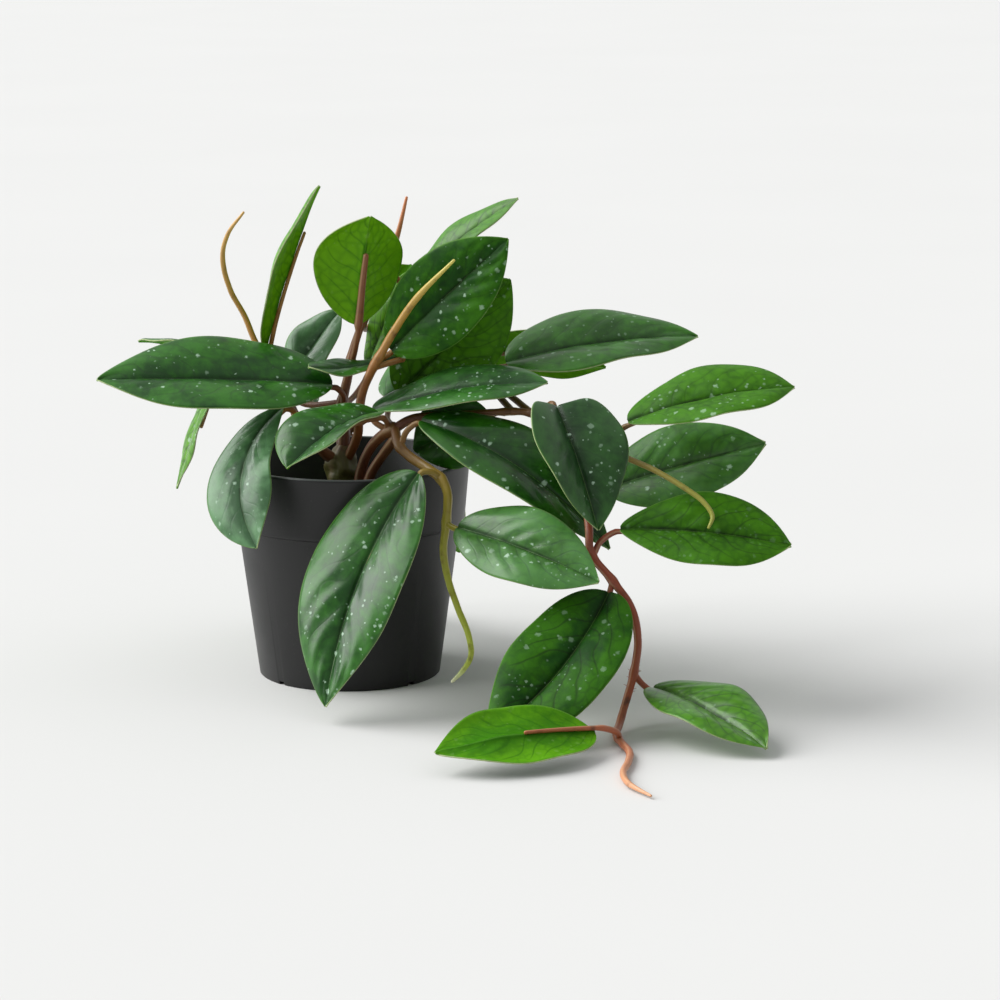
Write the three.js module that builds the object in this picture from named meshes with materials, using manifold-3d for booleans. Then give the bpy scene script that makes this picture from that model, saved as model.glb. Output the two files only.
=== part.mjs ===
// A trailing hoya in a plain black nursery pot, with its long stem laid along the surface.
// Millimetres, +Z up. The origin is the centre of the pot's underside, -Y is the front.
import * as THREE from "three";
import { mergeVertices } from "three/addons/utils/BufferGeometryUtils.js";
import Module from "manifold-3d";

const wasm = await Module();
wasm.setup();

// ---- Driving dimensions -------------------------------------------------------------
const GAP = 0.3; // air left between pieces that touch
const POT = {
  rimRadius: 60, // a 12 cm nursery pot
  height: 108,
  footRadius: 45,
  bandHeight: 30, // the collar under the rim
  bandFootRadius: 57.5,
  bodyTopRadius: 55,
  wall: 1.6,
  floorThickness: 2.2,
  footRecess: 1.6, // the underside is raised inside the foot ring
  footRing: 6,
  ringChamfer: 0.6, // the inner side of the foot ring leans by this much
  padRadius: 12, // the middle of the underside comes down level with the foot
  edge: 0.8,
  bandStep: 3, // the body widens to the collar over this height
  bandEdge: 0.7, // the collar's lower edge is broken by this much
  lipInset: 0.8, // the rolled edge is thicker than the wall by this much
  lipBevel: 0.5,
  sides: 40,
};
const DRAIN = {
  // round holes in the floor
  holes: 6, radius: 4.5, ring: 27, sides: 12, length: 12,
  // notches in the foot
  slots: 4, slotTurn: 44, slotWidth: 3.4, slotHeight: 1.7, slotLength: 10, slotInset: 2,
};
const SOIL = {
  top: 80,
  mound: 4,
  play: 0.25, // more air at the wall, where the soil's fewer sides bulge towards it
  slopeShare: 0.95, // the soil widens a little less than the pot does
  shoulder: [0.4, 1.5], // in and down from the rim of the soil
  shoulderTop: 1.2,
  sides: 28,
  rings: 3,
};
const BLADE = {
  thickness: 0.8,
  along: 10, // cells from base to tip
  across: 4, // cells from edge to edge
  rootWidth: 2.6,
  tipWidth: 0.9,
  widest: 0.44, // where the outline is widest, as a share of the length
  blunt: 0.6, // a smaller power gives a rounder base
  taper: 2.4, // a smaller power gives a longer point
  shoulder: 1.8, // a larger power keeps the outline wide for longer towards the base
  lobe: 0.06, // where the two lobes of a heart-shaped base reach furthest back
  puff: 0.1, // how far each half bulges between midrib and edge
  wave: 0.8, // how far the edge waves up and down
  waves: 2,
  phases: [2.2, 0.6], // where the waves of the left and the right edge start
  crowding: 0.45, // how much the stations crowd towards base and tip
};
const DELTA = 0.01; // the step for taking directions on a blade
const RIB = {
  share: 0.45, // how much of the blade the rib runs under
  stations: [0.15, 0.38, 0.6], // where it follows the blade before its end
  margin: 0.05, // no station this close to the end
  radius: 1.15,
  petioleRadius: 1.45,
  lead: 12, // the petiole lines up with the blade over this length
  leadShare: 0.4, // and never over more than this share of its reach
  knees: [0.6, 0.35], // where it bends out of the stem and into the blade
  slack: 0.2,
  swell: 1.05, // a little thicker where it meets the blade
  thinning: 0.5,
  sides: 6,
};
const STEM_SIDES = 8;
const CURVE_SAMPLES = 20; // length samples per span

// ---- Stems: the line each one follows and its radius at each point --------------------
const STEMS = {
  trunk: {
    colour: "olive", sides: 12,
    line: [[-3, 0, 40], [-3, 0, 62], [-4, 1, 78], [-3, 0, 94], [-3, -1, 104], [-2, 0, 112]],
    radii: [6.4, 6.3, 6.4, 7, 8.3, 5],
  },
  stem_left: {
    colour: "olive", from: ["trunk"],
    line: [[-3, -1, 104], [-13, -6, 113], [-20, -12, 124], [-24, -15, 130], [-29, -8, 139], [-38, 0, 153],
      [-46, 8, 165], [-51, 10, 177], [-58, 8, 191], [-61, 4, 207], [-58, 0, 219], [-50, -2, 230]],
    radii: [3, 2.8, 2.3, 2.1, 1.8, 1.6, 1.5, 1.4, 1.35, 1.25, 1.05, 0.6],
  },
  stem_upright: {
    colour: "brown", from: ["trunk"],
    line: [[-2, 0, 108], [-2, -1, 125], [-3, -3, 134], [0, -2, 148], [2, 1, 159], [7, 7, 174],
      [16, 11, 193], [24, 15, 215], [29, 18, 235]],
    radii: [3.2, 2.7, 2.6, 2.3, 2.2, 1.8, 1.6, 1.4, 0.7],
  },
  stem_upper: {
    colour: "tan", from: ["trunk"],
    line: [[-2, -2, 104], [5, -9, 121], [6, -15, 133], [8, -18, 144], [12, -21, 154], [18, -24, 165],
      [23, -26, 174], [35, -30, 192], [53, -36, 211]],
    radii: [2.4, 2.3, 2.3, 2.2, 2.2, 2.1, 2, 1.7, 0.7],
  },
  stem_front: {
    colour: "brown",
    line: [[4, -12, 40], [4, -13, 74], [5, -14, 94], [7, -15, 105], [11, -18, 115], [18, -25, 124],
      [24, -30, 128]],
    radii: [2.4, 2.4, 2.4, 2.5, 2.5, 2.6, 2.9],
    second: [[8, -18, 40], [8, -19, 75], [9, -20, 94], [12, -21, 104], [16, -23, 111], [24, -30, 123]],
    secondRadii: [2.4, 2.4, 2.4, 2.4, 2.4, 2.5],
  },
  stem_pendant: {
    colour: "pendant", from: ["stem_front", "stem_right"],
    line: [[24, -30, 128], [26, -40, 122], [31, -48, 118], [40, -59, 114], [47, -66, 110], [50, -70, 104],
      [50, -71, 97], [49, -71, 86], [48, -71, 77], [50, -71, 63], [55, -72, 48], [60, -73, 35],
      [61, -74, 25], [57, -75, 18], [52, -76, 13]],
    radii: [2.4, 2.3, 2.3, 2.3, 2.3, 2.2, 2.1, 2, 1.85, 1.75, 1.6, 1.5, 1.4, 1.25, 0.7],
  },
  stem_right: {
    colour: "brown", from: ["stem_front"],
    line: [[24, -30, 128], [33, -30, 133], [53, -32, 135], [72, -36, 137], [88, -42, 138], [104, -50, 133],
      [123, -58, 125], [136, -66, 120], [148, -74, 116], [162, -82, 109], [171, -87, 103],
      [175, -91, 97], [173, -94, 92]],
    radii: [2.4, 2.1, 1.8, 1.7, 1.7, 1.65, 1.55, 1.45, 1.35, 1.3, 1.2, 1, 0.6],
  },
  stem_trailing: {
    colour: "red_brown", from: ["stem_right"],
    line: [[104, -50, 133], [111, -58, 123], [115, -72, 106], [117, -84, 90], [118, -90, 79],
      [128, -95, 67], [137, -98, 54], [140, -100, 39], [138, -103, 24], [134, -109, 11], [131, -119, 4],
      [129, -132, 2.4], [131, -148, 2.3], [134, -164, 2.4], [133, -180, 2.3], [130, -198, 2.3],
      [132, -216, 2.2], [141, -233, 1.6]],
    radii: [2, 2, 2, 1.95, 1.95, 1.95, 1.9, 1.9, 1.9, 1.85, 1.85, 1.8, 1.8, 1.75, 1.7, 1.6, 1.4, 0.6],
  },
  stem_rear: {
    colour: "brown", from: ["trunk"],
    line: [[-3, 0, 104], [-4, 14, 113], [-4, 32, 119], [-5, 52, 121], [-6, 68, 114], [-8, 79, 96],
      [-10, 84, 72], [-8, 86, 48], [-4, 88, 30]],
    radii: [2.8, 2.5, 2.4, 2.3, 2.2, 2, 1.8, 1.5, 0.7],
  },
};

// ---- Leaves: base and tip of the midrib, full width, and the way the upper side faces ------
// joint is where the leaf's petiole leaves its stem; bow arches the midrib; fold lifts the edges;
// heart is how far the lobes of a heart-shaped base reach back; sway bends the midrib sideways;
// lead is how far the petiole lines up with the blade before it reaches the base.
const LEAVES = [
  {
    name: "leaf_01_left_large", stem: "stem_upright", joint: [-3, -3, 134],
    base: [-7, -14, 147], tip: [-120, -32, 152], face: [0, -0.5, 0.86],
    width: 56, bow: 2, fold: 8,
  },
  {
    name: "leaf_02_left_behind", stem: "stem_left", joint: [-42, 4, 159],
    base: [-59, 26, 152], tip: [-107, 44, 159], face: [0, 0.2, 0.98],
    width: 36, bow: 2, fold: 6,
  },
  {
    name: "leaf_03_left_upright", stem: "stem_left", joint: [-31, -6, 142],
    base: [-41, 13, 160], tip: [-13, 4, 242], face: [-1, 0.02, 0],
    width: 36, bow: 2, fold: 21, taper: 1.9, light: true, blunt: 0.9, ribShare: 0.72,
  },
  {
    name: "leaf_04_round_back", stem: "stem_upright", joint: [2, 0, 156],
    base: [5, -4, 175], tip: [12, -12, 229], face: [-0.4, 1, 0.15],
    width: 46, bow: 2, fold: 16, blunt: 0.72, rib: 2.1, light: true, widest: 0.52, ribShare: 0.65,
  },
  {
    name: "leaf_05_behind_left", stem: "stem_upright", joint: [-3, -2, 136],
    base: [-30, 18, 142], tip: [-4, 24, 178], face: [-0.4, -0.7, 0.6],
    width: 28, bow: 2, fold: 8,
  },
  {
    name: "leaf_06_behind_middle", stem: "stem_upright", joint: [12, 9, 184],
    base: [11, 38, 170], tip: [31, 42, 198], face: [0.3, 0.8, 0.3],
    width: 30, bow: 1, fold: 6, light: true,
  },
  {
    name: "leaf_07_top_right_rear", stem: "stem_upright", joint: [20, 13, 203],
    base: [32, 14, 194], tip: [84, 10, 235], face: [-0.6, -0.3, 0.75],
    width: 32, bow: 2, fold: 6, taper: 2, light: true,
  },
  {
    name: "leaf_08_top_right", stem: "stem_upper", joint: [16, -23, 162],
    base: [22, -8, 163], tip: [79, -18, 219], face: [-0.15, -0.9, 0.3],
    width: 44, bow: 3, fold: 8,
  },
  {
    name: "leaf_09_below_top_right", stem: "stem_front", joint: [24, -30, 128],
    base: [25, 5, 139], tip: [80, 13, 195], face: [0.1, -1, 0.12],
    width: 48, bow: 3, fold: 8,
  },
  {
    name: "leaf_10_edge_on", stem: "stem_upright", joint: [-3, -3, 134],
    base: [10, 17, 152], tip: [30, 25, 197], face: [-0.75, -0.6, 0.3],
    width: 18, bow: 1, fold: 14, light: true,
  },
  {
    name: "leaf_11_small_middle", stem: "stem_upper", joint: [15, -22, 157],
    base: [24, -1, 158], tip: [-18, -26, 157], face: [0, -0.26, 1],
    width: 20, bow: -2.5, fold: 4, widest: 0.62, blunt: 1.2, taper: 4, lead: 7,
  },
  {
    name: "leaf_12_front_left_fold", stem: "stem_front", joint: [20, -28, 127],
    base: [17, -36, 136], tip: [-26, -72, 116], face: [-0.15, -0.2, 0.97],
    width: 40, bow: 5, fold: 20, widest: 0.6, taper: 3.2,
  },
  {
    name: "leaf_13_over_left_rim", stem: "stem_left", joint: [-24, -15, 130],
    base: [-31, -24, 137], tip: [-41, -70, 77], face: [-0.5, -0.75, 0.4],
    width: 36, bow: 8, fold: 3, sway: 11, widest: 0.6, blunt: 0.85,
  },
  {
    name: "leaf_14_low_left", stem: "stem_left", joint: [-29, -8, 139],
    base: [-66, 8, 148], tip: [-85, 2, 92], face: [-0.93, -0.18, 0.36],
    width: 30, bow: 0, fold: 4, light: true,
  },
  {
    name: "leaf_15_front_large", stem: "stem_pendant", joint: [47, -66, 110],
    base: [36, -72, 114], tip: [-7, -108, 9], face: [-0.5, -0.7, 0.45],
    width: 57, bow: 5, fold: 6, sway: 6, taper: 2.3,
  },
  {
    name: "leaf_16_middle_right", stem: "stem_front", joint: [20, -28, 127],
    base: [13, -24, 136], tip: [98, -34, 151], face: [0, -0.32, 0.95],
    width: 39, bow: 4, fold: 6, widest: 0.55,
  },
  {
    name: "leaf_17_dark_behind", stem: "stem_right", joint: [77, -38, 137],
    base: [70, -28, 134], tip: [33, -22, 116], face: [0, -0.9, 0.2],
    width: 36, bow: 2, fold: 6,
  },
  {
    name: "leaf_18_long_drooping", stem: "stem_pendant", joint: [27, -42, 121],
    base: [37, -42, 134], tip: [127, -72, 77], face: [0.4, -0.6, 0.7],
    width: 44, bow: 12, fold: 8, taper: 2,
  },
  {
    name: "leaf_19_right_front", stem: "stem_right", joint: [98, -47, 135],
    base: [102, -66, 145], tip: [121, -94, 91], face: [0.52, -0.84, 0.26],
    width: 49, bow: 4, fold: 20, widest: 0.32, blunt: 0.35, sway: 1, taper: 2, heart: 2.2,
  },
  {
    name: "leaf_20_top_right_long", stem: "stem_right", joint: [81, -40, 138],
    base: [78, 3, 155], tip: [173, 14, 166], face: [0, -0.36, 0.93],
    width: 54, bow: 4, fold: 8, widest: 0.34, blunt: 0.55,
  },
  {
    name: "leaf_21_under_top_right", stem: "stem_right", joint: [90, -43, 138],
    base: [67, 36, 156], tip: [128, 36, 147], face: [0, 0.8, 0.6],
    width: 34, bow: 2, fold: 6,
  },
  {
    name: "leaf_22_far_right_upper", stem: "stem_right", joint: [125, -59, 124],
    base: [136, -62, 137], tip: [215, -60, 153], face: [0.1, -0.33, 0.94],
    width: 48, bow: 4, fold: 8, widest: 0.56,
  },
  {
    name: "leaf_23_far_right_behind", stem: "stem_right", joint: [108, -52, 131],
    base: [126, -44, 101], tip: [203, -44, 123], face: [0, -0.75, 0.6],
    width: 42, bow: 2, fold: 6,
  },
  {
    name: "leaf_24_far_right_lower", stem: "stem_trailing", joint: [119, -90, 78],
    base: [132, -82, 89], tip: [212, -92, 83], face: [0.1, -0.65, 0.75],
    width: 44, bow: 4, fold: 8, widest: 0.52, blunt: 0.8,
  },
  {
    name: "leaf_25_front_right", stem: "stem_pendant", joint: [49, -71, 90],
    base: [55, -78, 89], tip: [121, -113, 70], face: [0.05, -0.75, 0.65],
    width: 42, bow: 4, fold: 8,
  },
  {
    name: "leaf_26_sloping_to_surface", stem: "stem_trailing", joint: [128, -95, 67],
    base: [126, -99, 62], tip: [68, -148, 3], face: [-0.1, -0.7, 0.7],
    width: 50, bow: 5, fold: 8, sway: -8, taper: 2.6, blunt: 0.5,
  },
  {
    name: "leaf_27_resting_right", stem: "stem_trailing", joint: [138, -103, 24],
    base: [147, -107, 18], tip: [196, -168, 5], face: [0.1, -0.35, 0.93],
    width: 42, bow: 4, fold: 8,
  },
  {
    name: "leaf_28_resting_left", stem: "stem_trailing", joint: [130, -140, 2.4],
    base: [118, -160, 11], tip: [46, -196, 11], face: [0, 0.42, -0.91],
    width: 42, bow: -3, fold: -4,
  },
  {
    name: "leaf_29_rear_right", stem: "stem_rear", joint: [-6, 68, 114],
    base: [6, 74, 99], tip: [54, 82, 42], face: [0.3, 0.85, 0.4],
    width: 46, bow: 6, fold: 8,
  },
  {
    name: "leaf_30_rear_left", stem: "stem_rear", joint: [-8, 79, 96],
    base: [-18, 82, 93], tip: [-54, 96, 34], face: [-0.3, 0.85, 0.4],
    width: 44, bow: 6, fold: 8,
  },
  {
    name: "leaf_31_rear_low", stem: "stem_rear", joint: [-10, 84, 72],
    base: [-2, 93, 62], tip: [12, 124, 6], face: [0.1, 0.85, 0.5],
    width: 40, bow: 5, fold: 8,
  },
  {
    name: "leaf_32_rear_left_high", stem: "stem_rear", joint: [-4, 32, 119],
    base: [-18, 40, 128], tip: [-94, 72, 138], face: [0, 0.1, 1],
    width: 46, bow: 5, fold: 8,
  },
  {
    name: "leaf_33_rear_right_high", stem: "stem_rear", joint: [-4, 20, 115],
    base: [18, 34, 132], tip: [78, 92, 158], face: [0, 0.1, 1],
    width: 46, bow: 5, fold: 8,
  },
];

// ---- Materials ----------------------------------------------------------------------
const COLOURS = {
  olive: "#6d7038",
  brown: "#54382a",
  tan: "#9a7b42",
  pendant: "#8b8a3c",
  red_brown: "#6e3a30",
  leaf: "#2c5a2b",
  leafLight: "#4f8a2a", // leaves with the light behind them
};

function stemMaterial(name) {
  return new THREE.MeshStandardMaterial({ color: COLOURS[name], roughness: 0.5, metalness: 0 });
}

function leafMaterial(light) {
  const color = light ? COLOURS.leafLight : COLOURS.leaf;
  return new THREE.MeshStandardMaterial({ color, roughness: 0.35, metalness: 0 });
}

function potMaterial() {
  return new THREE.MeshStandardMaterial({ color: "#2b2b2d", roughness: 0.45, metalness: 0 });
}

function soilMaterial() {
  return new THREE.MeshStandardMaterial({ color: "#2a211b", roughness: 0.95, metalness: 0 });
}

// ---- Solids and their booleans ----------------------------------------------------------
function toSolid(geometry) {
  const bare = geometry.clone();
  bare.deleteAttribute("normal");
  bare.deleteAttribute("uv");
  const merged = mergeVertices(bare, 1e-4);
  return new wasm.Manifold(new wasm.Mesh({
    numProp: 3,
    vertProperties: new Float32Array(merged.attributes.position.array),
    triVerts: new Uint32Array(merged.index.array),
  }));
}

function toGeometry(solid) {
  const mesh = solid.getMesh();
  const geometry = new THREE.BufferGeometry();
  geometry.setAttribute("position", new THREE.BufferAttribute(mesh.vertProperties, 3));
  geometry.setIndex(new THREE.BufferAttribute(mesh.triVerts, 1));
  geometry.computeVertexNormals();
  return geometry;
}

function largestPiece(solid) {
  const pieces = solid.decompose();
  pieces.sort((a, b) => b.volume() - a.volume());
  return pieces[0];
}

// ---- Tapered tubes ------------------------------------------------------------------
const vector = (p) => new THREE.Vector3(...p);

// A round bar swept along the points, then drawn in or let out to its radius at each station.
// extra thickens it all along, for cutting room out of a neighbour.
function taperedTube(points, radii, sides, stepsPerSpan = 2, extra = 0) {
  const curve = new THREE.CatmullRomCurve3(points.map(vector), false, "centripetal");
  const steps = (points.length - 1) * stepsPerSpan;
  const section = new THREE.Shape();
  section.absarc(0, 0, 1, 0, Math.PI * 2);
  const curveSegments = sides / 2;
  const geometry = new THREE.ExtrudeGeometry(section, { steps, curveSegments, extrudePath: curve });
  const stations = curve.getSpacedPoints(steps);
  const knots = radiiAlong(curve, points, radii);
  const position = geometry.attributes.position;
  const p = new THREE.Vector3();
  for (let i = 0; i < position.count; i += 1) {
    p.fromBufferAttribute(position, i);
    const station = nearestIndex(stations, p);
    p.sub(stations[station]).multiplyScalar(knots(station / steps) + extra).add(stations[station]);
    position.setXYZ(i, p.x, p.y, p.z);
  }
  return geometry;
}

function nearestIndex(stations, p) {
  let best = 0;
  stations.forEach((s, i) => {
    if (s.distanceToSquared(p) < stations[best].distanceToSquared(p)) best = i;
  });
  return best;
}

// The radius as a function of the share of the curve's length that is already behind.
function radiiAlong(curve, points, radii) {
  const lengths = curve.getLengths((points.length - 1) * CURVE_SAMPLES);
  const total = lengths[lengths.length - 1];
  const shares = points.map((_, i) => lengths[i * CURVE_SAMPLES] / total);
  return (share) => {
    let i = 1;
    while (i < shares.length - 1 && shares[i] < share) i += 1;
    const along = (share - shares[i - 1]) / (shares[i] - shares[i - 1]);
    return THREE.MathUtils.lerp(radii[i - 1], radii[i], THREE.MathUtils.clamp(along, 0, 1));
  };
}

// ---- Leaf form ----------------------------------------------------------------------
// The leaf's own axes: forward along the chord, up out of the upper side, right across.
function leafAxes(leaf) {
  const base = vector(leaf.base);
  const chord = vector(leaf.tip).sub(base);
  const forward = chord.clone().normalize();
  const up = vector(leaf.face);
  up.addScaledVector(forward, -up.dot(forward)).normalize();
  const right = new THREE.Vector3().crossVectors(forward, up);
  return { base, chord, forward, up, right };
}

function midrib(leaf, axes, s) {
  const arch = 4 * s * (1 - s);
  return axes.base.clone()
    .addScaledVector(axes.chord, s)
    .addScaledVector(axes.up, leaf.bow * arch)
    .addScaledVector(axes.right, (leaf.sway ?? 0) * arch);
}

// The midrib's direction at s, and the way the upper side faces there.
function midribFrame(leaf, axes, s) {
  const ahead = midrib(leaf, axes, s + DELTA).sub(midrib(leaf, axes, s - DELTA)).normalize();
  const up = axes.up.clone().addScaledVector(ahead, -axes.up.dot(ahead)).normalize();
  return { ahead, up };
}

// Half the width at s: a rounded base, a long drawn point.
function halfWidth(leaf, s) {
  const widest = leaf.widest ?? BLADE.widest;
  const behind = Math.max(0, (widest - s) / widest);
  const beyond = Math.max(0, (s - widest) / (1 - widest));
  const share = s < widest
    ? Math.max(0, 1 - behind ** BLADE.shoulder) ** (leaf.blunt ?? BLADE.blunt)
    : 1 - beyond ** (leaf.taper ?? BLADE.taper);
  const stub = s < widest ? BLADE.rootWidth : BLADE.tipWidth;
  return stub / 2 + ((leaf.width - stub) / 2) * share;
}

// A point of the blade's middle layer; s runs base to tip, t from edge (-1) to edge (1).
function bladePoint(leaf, axes, s, t) {
  const { ahead, up } = midribFrame(leaf, axes, s);
  const right = new THREE.Vector3().crossVectors(ahead, up);
  const half = halfWidth(leaf, s);
  const side = Math.abs(t);
  const bulge = BLADE.puff * 4 * side * (1 - side);
  const lift = Math.tan(THREE.MathUtils.degToRad(leaf.fold)) * side + bulge;
  const phase = BLADE.phases[t > 0 ? 1 : 0];
  const wave = BLADE.wave * side * side * Math.sin(Math.PI * 2 * BLADE.waves * s + phase);
  const ripe = Math.max(0, s / BLADE.lobe);
  const back = (leaf.heart ?? 0) * side * side * ripe * Math.exp(1 - ripe);
  return midrib(leaf, axes, s)
    .addScaledVector(ahead, -back)
    .addScaledVector(right, half * t)
    .addScaledVector(up, half * lift + wave);
}

// Stations crowd a little towards the base and the tip, where the outline turns.
function stationShare(i, count) {
  const even = i / count;
  const crowded = 0.5 - 0.5 * Math.cos(Math.PI * even);
  return THREE.MathUtils.lerp(even, crowded, BLADE.crowding);
}

// A thin flat bar, one cell thick, bent into the blade.
function leafGeometry(leaf) {
  const axes = leafAxes(leaf);
  const bar = new THREE.BoxGeometry(1, 2, 1, BLADE.along, BLADE.across, 1);
  bar.deleteAttribute("normal");
  bar.deleteAttribute("uv");
  const geometry = mergeVertices(bar, 1e-5);
  const position = geometry.attributes.position;
  for (let i = 0; i < position.count; i += 1) {
    const s = stationShare(Math.round((position.getX(i) + 0.5) * BLADE.along), BLADE.along);
    const t = -position.getY(i);
    const middle = bladePoint(leaf, axes, s, t);
    const alongS = bladePoint(leaf, axes, s + DELTA, t).sub(bladePoint(leaf, axes, s - DELTA, t));
    const alongT = bladePoint(leaf, axes, s, t + DELTA).sub(bladePoint(leaf, axes, s, t - DELTA));
    const normal = new THREE.Vector3().crossVectors(alongT, alongS).normalize();
    middle.addScaledVector(normal, position.getZ(i) * BLADE.thickness);
    position.setXYZ(i, middle.x, middle.y, middle.z);
  }
  geometry.computeVertexNormals();
  return geometry;
}

// The petiole leaves the stem, reaches the blade's base and runs on under it as a rib.
function petioleGeometry(leaf, extra = 0) {
  const axes = leafAxes(leaf);
  const radius = leaf.rib ?? RIB.radius;
  const clear = BLADE.thickness / 2 + GAP + RIB.slack;
  const under = (s) => {
    const { up } = midribFrame(leaf, axes, s);
    return midrib(leaf, axes, s).addScaledVector(up, -clear - (s > 0 ? radius : RIB.petioleRadius));
  };
  const joint = vector(leaf.joint);
  const base = under(0);
  const reach = Math.min(leaf.lead ?? RIB.lead, RIB.leadShare * joint.distanceTo(base));
  const start = midrib(leaf, axes, 2 * DELTA).sub(midrib(leaf, axes, 0)).normalize();
  const lead = base.clone().addScaledVector(start, -reach);
  const [outOfStem, intoBlade] = RIB.knees;
  const points = [joint, joint.clone().lerp(lead, outOfStem), base.clone().lerp(lead, intoBlade), base];
  const radii = points.map(() => RIB.petioleRadius);
  radii[radii.length - 1] = radius * RIB.swell;
  const end = leaf.ribShare ?? RIB.share;
  for (const s of [...RIB.stations.filter((share) => share < end - RIB.margin), end]) {
    points.push(under(s));
    radii.push(radius * (1 - RIB.thinning * s));
  }
  return taperedTube(points.map((p) => p.toArray()), radii, RIB.sides, 1, extra);
}

// ---- Stems --------------------------------------------------------------------------
function bareStem(name, extra = 0) {
  const stem = STEMS[name];
  let solid = toSolid(taperedTube(stem.line, stem.radii, stem.sides ?? STEM_SIDES, 2, extra));
  if (stem.second) {
    solid = solid.add(toSolid(taperedTube(stem.second, stem.secondRadii, STEM_SIDES, 2, extra)));
  }
  return solid;
}

function stemWithPetioles(name, extra = 0) {
  let solid = bareStem(name, extra);
  LEAVES.filter((leaf) => leaf.stem === name).forEach((leaf) => {
    solid = solid.add(toSolid(petioleGeometry(leaf, extra)));
  });
  return solid;
}

// A stem with its petioles, hollowed at the foot to sit against the stems it grows from.
function stemSolid(name) {
  let solid = stemWithPetioles(name);
  for (const parent of STEMS[name].from ?? []) {
    solid = solid.subtract(stemWithPetioles(parent, GAP));
  }
  return largestPiece(solid);
}

// ---- Pot and soil -----------------------------------------------------------------------
// The pot's wall as one closed outline, turned about the axis.
function potGeometry() {
  const { rimRadius, height, footRadius, footRing, footRecess, ringChamfer, padRadius } = POT;
  const { bandHeight, bandFootRadius, bandStep, bandEdge, bodyTopRadius, wall, edge } = POT;
  const bandFoot = height - bandHeight;
  const floorTop = footRecess + POT.floorThickness;
  const mouth = rimRadius - wall - POT.lipInset;
  const outline = [
    [0, 0],
    [padRadius, 0],
    [padRadius + ringChamfer, footRecess],
    [footRadius - footRing, footRecess],
    [footRadius - footRing + ringChamfer, 0],
    [footRadius - edge, 0],
    [footRadius, edge],
    [bodyTopRadius, bandFoot - bandStep],
    [bandFootRadius - bandEdge, bandFoot - bandEdge],
    [bandFootRadius, bandFoot],
    [rimRadius, height - edge],
    [rimRadius - edge, height],
    [mouth + POT.lipBevel, height],
    [mouth, height - POT.lipBevel],
    [bandFootRadius - wall, bandFoot],
    [bodyTopRadius - wall, bandFoot - bandStep],
    [footRadius - wall, floorTop],
    [0, floorTop],
  ];
  return new THREE.LatheGeometry(outline.map(([x, y]) => new THREE.Vector2(x, y)), POT.sides)
    .rotateX(Math.PI / 2);
}

function potSolid() {
  let solid = toSolid(potGeometry());
  for (let i = 0; i < DRAIN.holes; i += 1) {
    const angle = (Math.PI * 2 * (i + 0.5)) / DRAIN.holes;
    const hole = new THREE.CylinderGeometry(DRAIN.radius, DRAIN.radius, DRAIN.length, DRAIN.sides);
    hole.rotateX(Math.PI / 2);
    hole.translate(DRAIN.ring * Math.cos(angle), DRAIN.ring * Math.sin(angle), POT.floorThickness);
    solid = solid.subtract(toSolid(hole));
  }
  const slotRing = POT.footRadius - DRAIN.slotInset;
  for (let i = 0; i < DRAIN.slots; i += 1) {
    const angle = THREE.MathUtils.degToRad(DRAIN.slotTurn) + (Math.PI * 2 * i) / DRAIN.slots;
    const slot = new THREE.BoxGeometry(DRAIN.slotLength, DRAIN.slotWidth, DRAIN.slotHeight * 2);
    slot.rotateZ(angle);
    slot.translate(slotRing * Math.cos(angle), slotRing * Math.sin(angle), 0);
    solid = solid.subtract(toSolid(slot));
  }
  return solid;
}

// Soil filling the pot, its top a low mound, with a hole for each stem that stands in it.
function soilSolid() {
  const bottom = POT.footRecess + POT.floorThickness + GAP;
  const bodyHeight = POT.height - POT.bandHeight - POT.bandStep;
  const slope = (POT.bodyTopRadius - POT.footRadius) / bodyHeight;
  const footRadius = POT.footRadius - POT.wall - GAP - SOIL.play;
  const topRadius = footRadius + slope * (SOIL.top - bottom) * SOIL.slopeShare;
  const [inwards, down] = SOIL.shoulder;
  const outline = [new THREE.Vector2(0, bottom), new THREE.Vector2(footRadius, bottom)];
  outline.push(new THREE.Vector2(topRadius - inwards, SOIL.top - down));
  for (let i = 0; i <= SOIL.rings; i += 1) {
    const share = i / SOIL.rings;
    const radius = (topRadius - SOIL.shoulderTop) * (1 - share);
    outline.push(new THREE.Vector2(radius, SOIL.top + SOIL.mound * Math.sin((share * Math.PI) / 2)));
  }
  let solid = toSolid(new THREE.LatheGeometry(outline, SOIL.sides).rotateX(Math.PI / 2));
  for (const name of ["trunk", "stem_front"]) {
    solid = solid.subtract(bareStem(name, GAP));
  }
  return largestPiece(solid);
}

// ---- The whole plant ----------------------------------------------------------------
const plant = new THREE.Group();

function addPiece(name, geometry, material) {
  const mesh = new THREE.Mesh(geometry, material);
  mesh.name = name;
  plant.add(mesh);
}

addPiece("pot", toGeometry(potSolid()), potMaterial());
addPiece("soil", toGeometry(soilSolid()), soilMaterial());
for (const [name, stem] of Object.entries(STEMS)) {
  addPiece(name, toGeometry(stemSolid(name)), stemMaterial(stem.colour));
}
for (const leaf of LEAVES) addPiece(leaf.name, leafGeometry(leaf), leafMaterial(leaf.light));

export default plant;
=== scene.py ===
# %% [markdown]
# # A potted hoya
# The object is a hoya in a black nursery pot, made the way good artificial plants are:
# leaves of thin printed sheet, pressed to shape, on stems of moulded plastic. The measured
# frame gives every piece its place. Here each piece is made again in a finer mesh that keeps
# the frame's form, and gets the finish that the real one has.

import math
import random

import bmesh
import bpy
from mathutils import Matrix, Vector, noise


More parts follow.
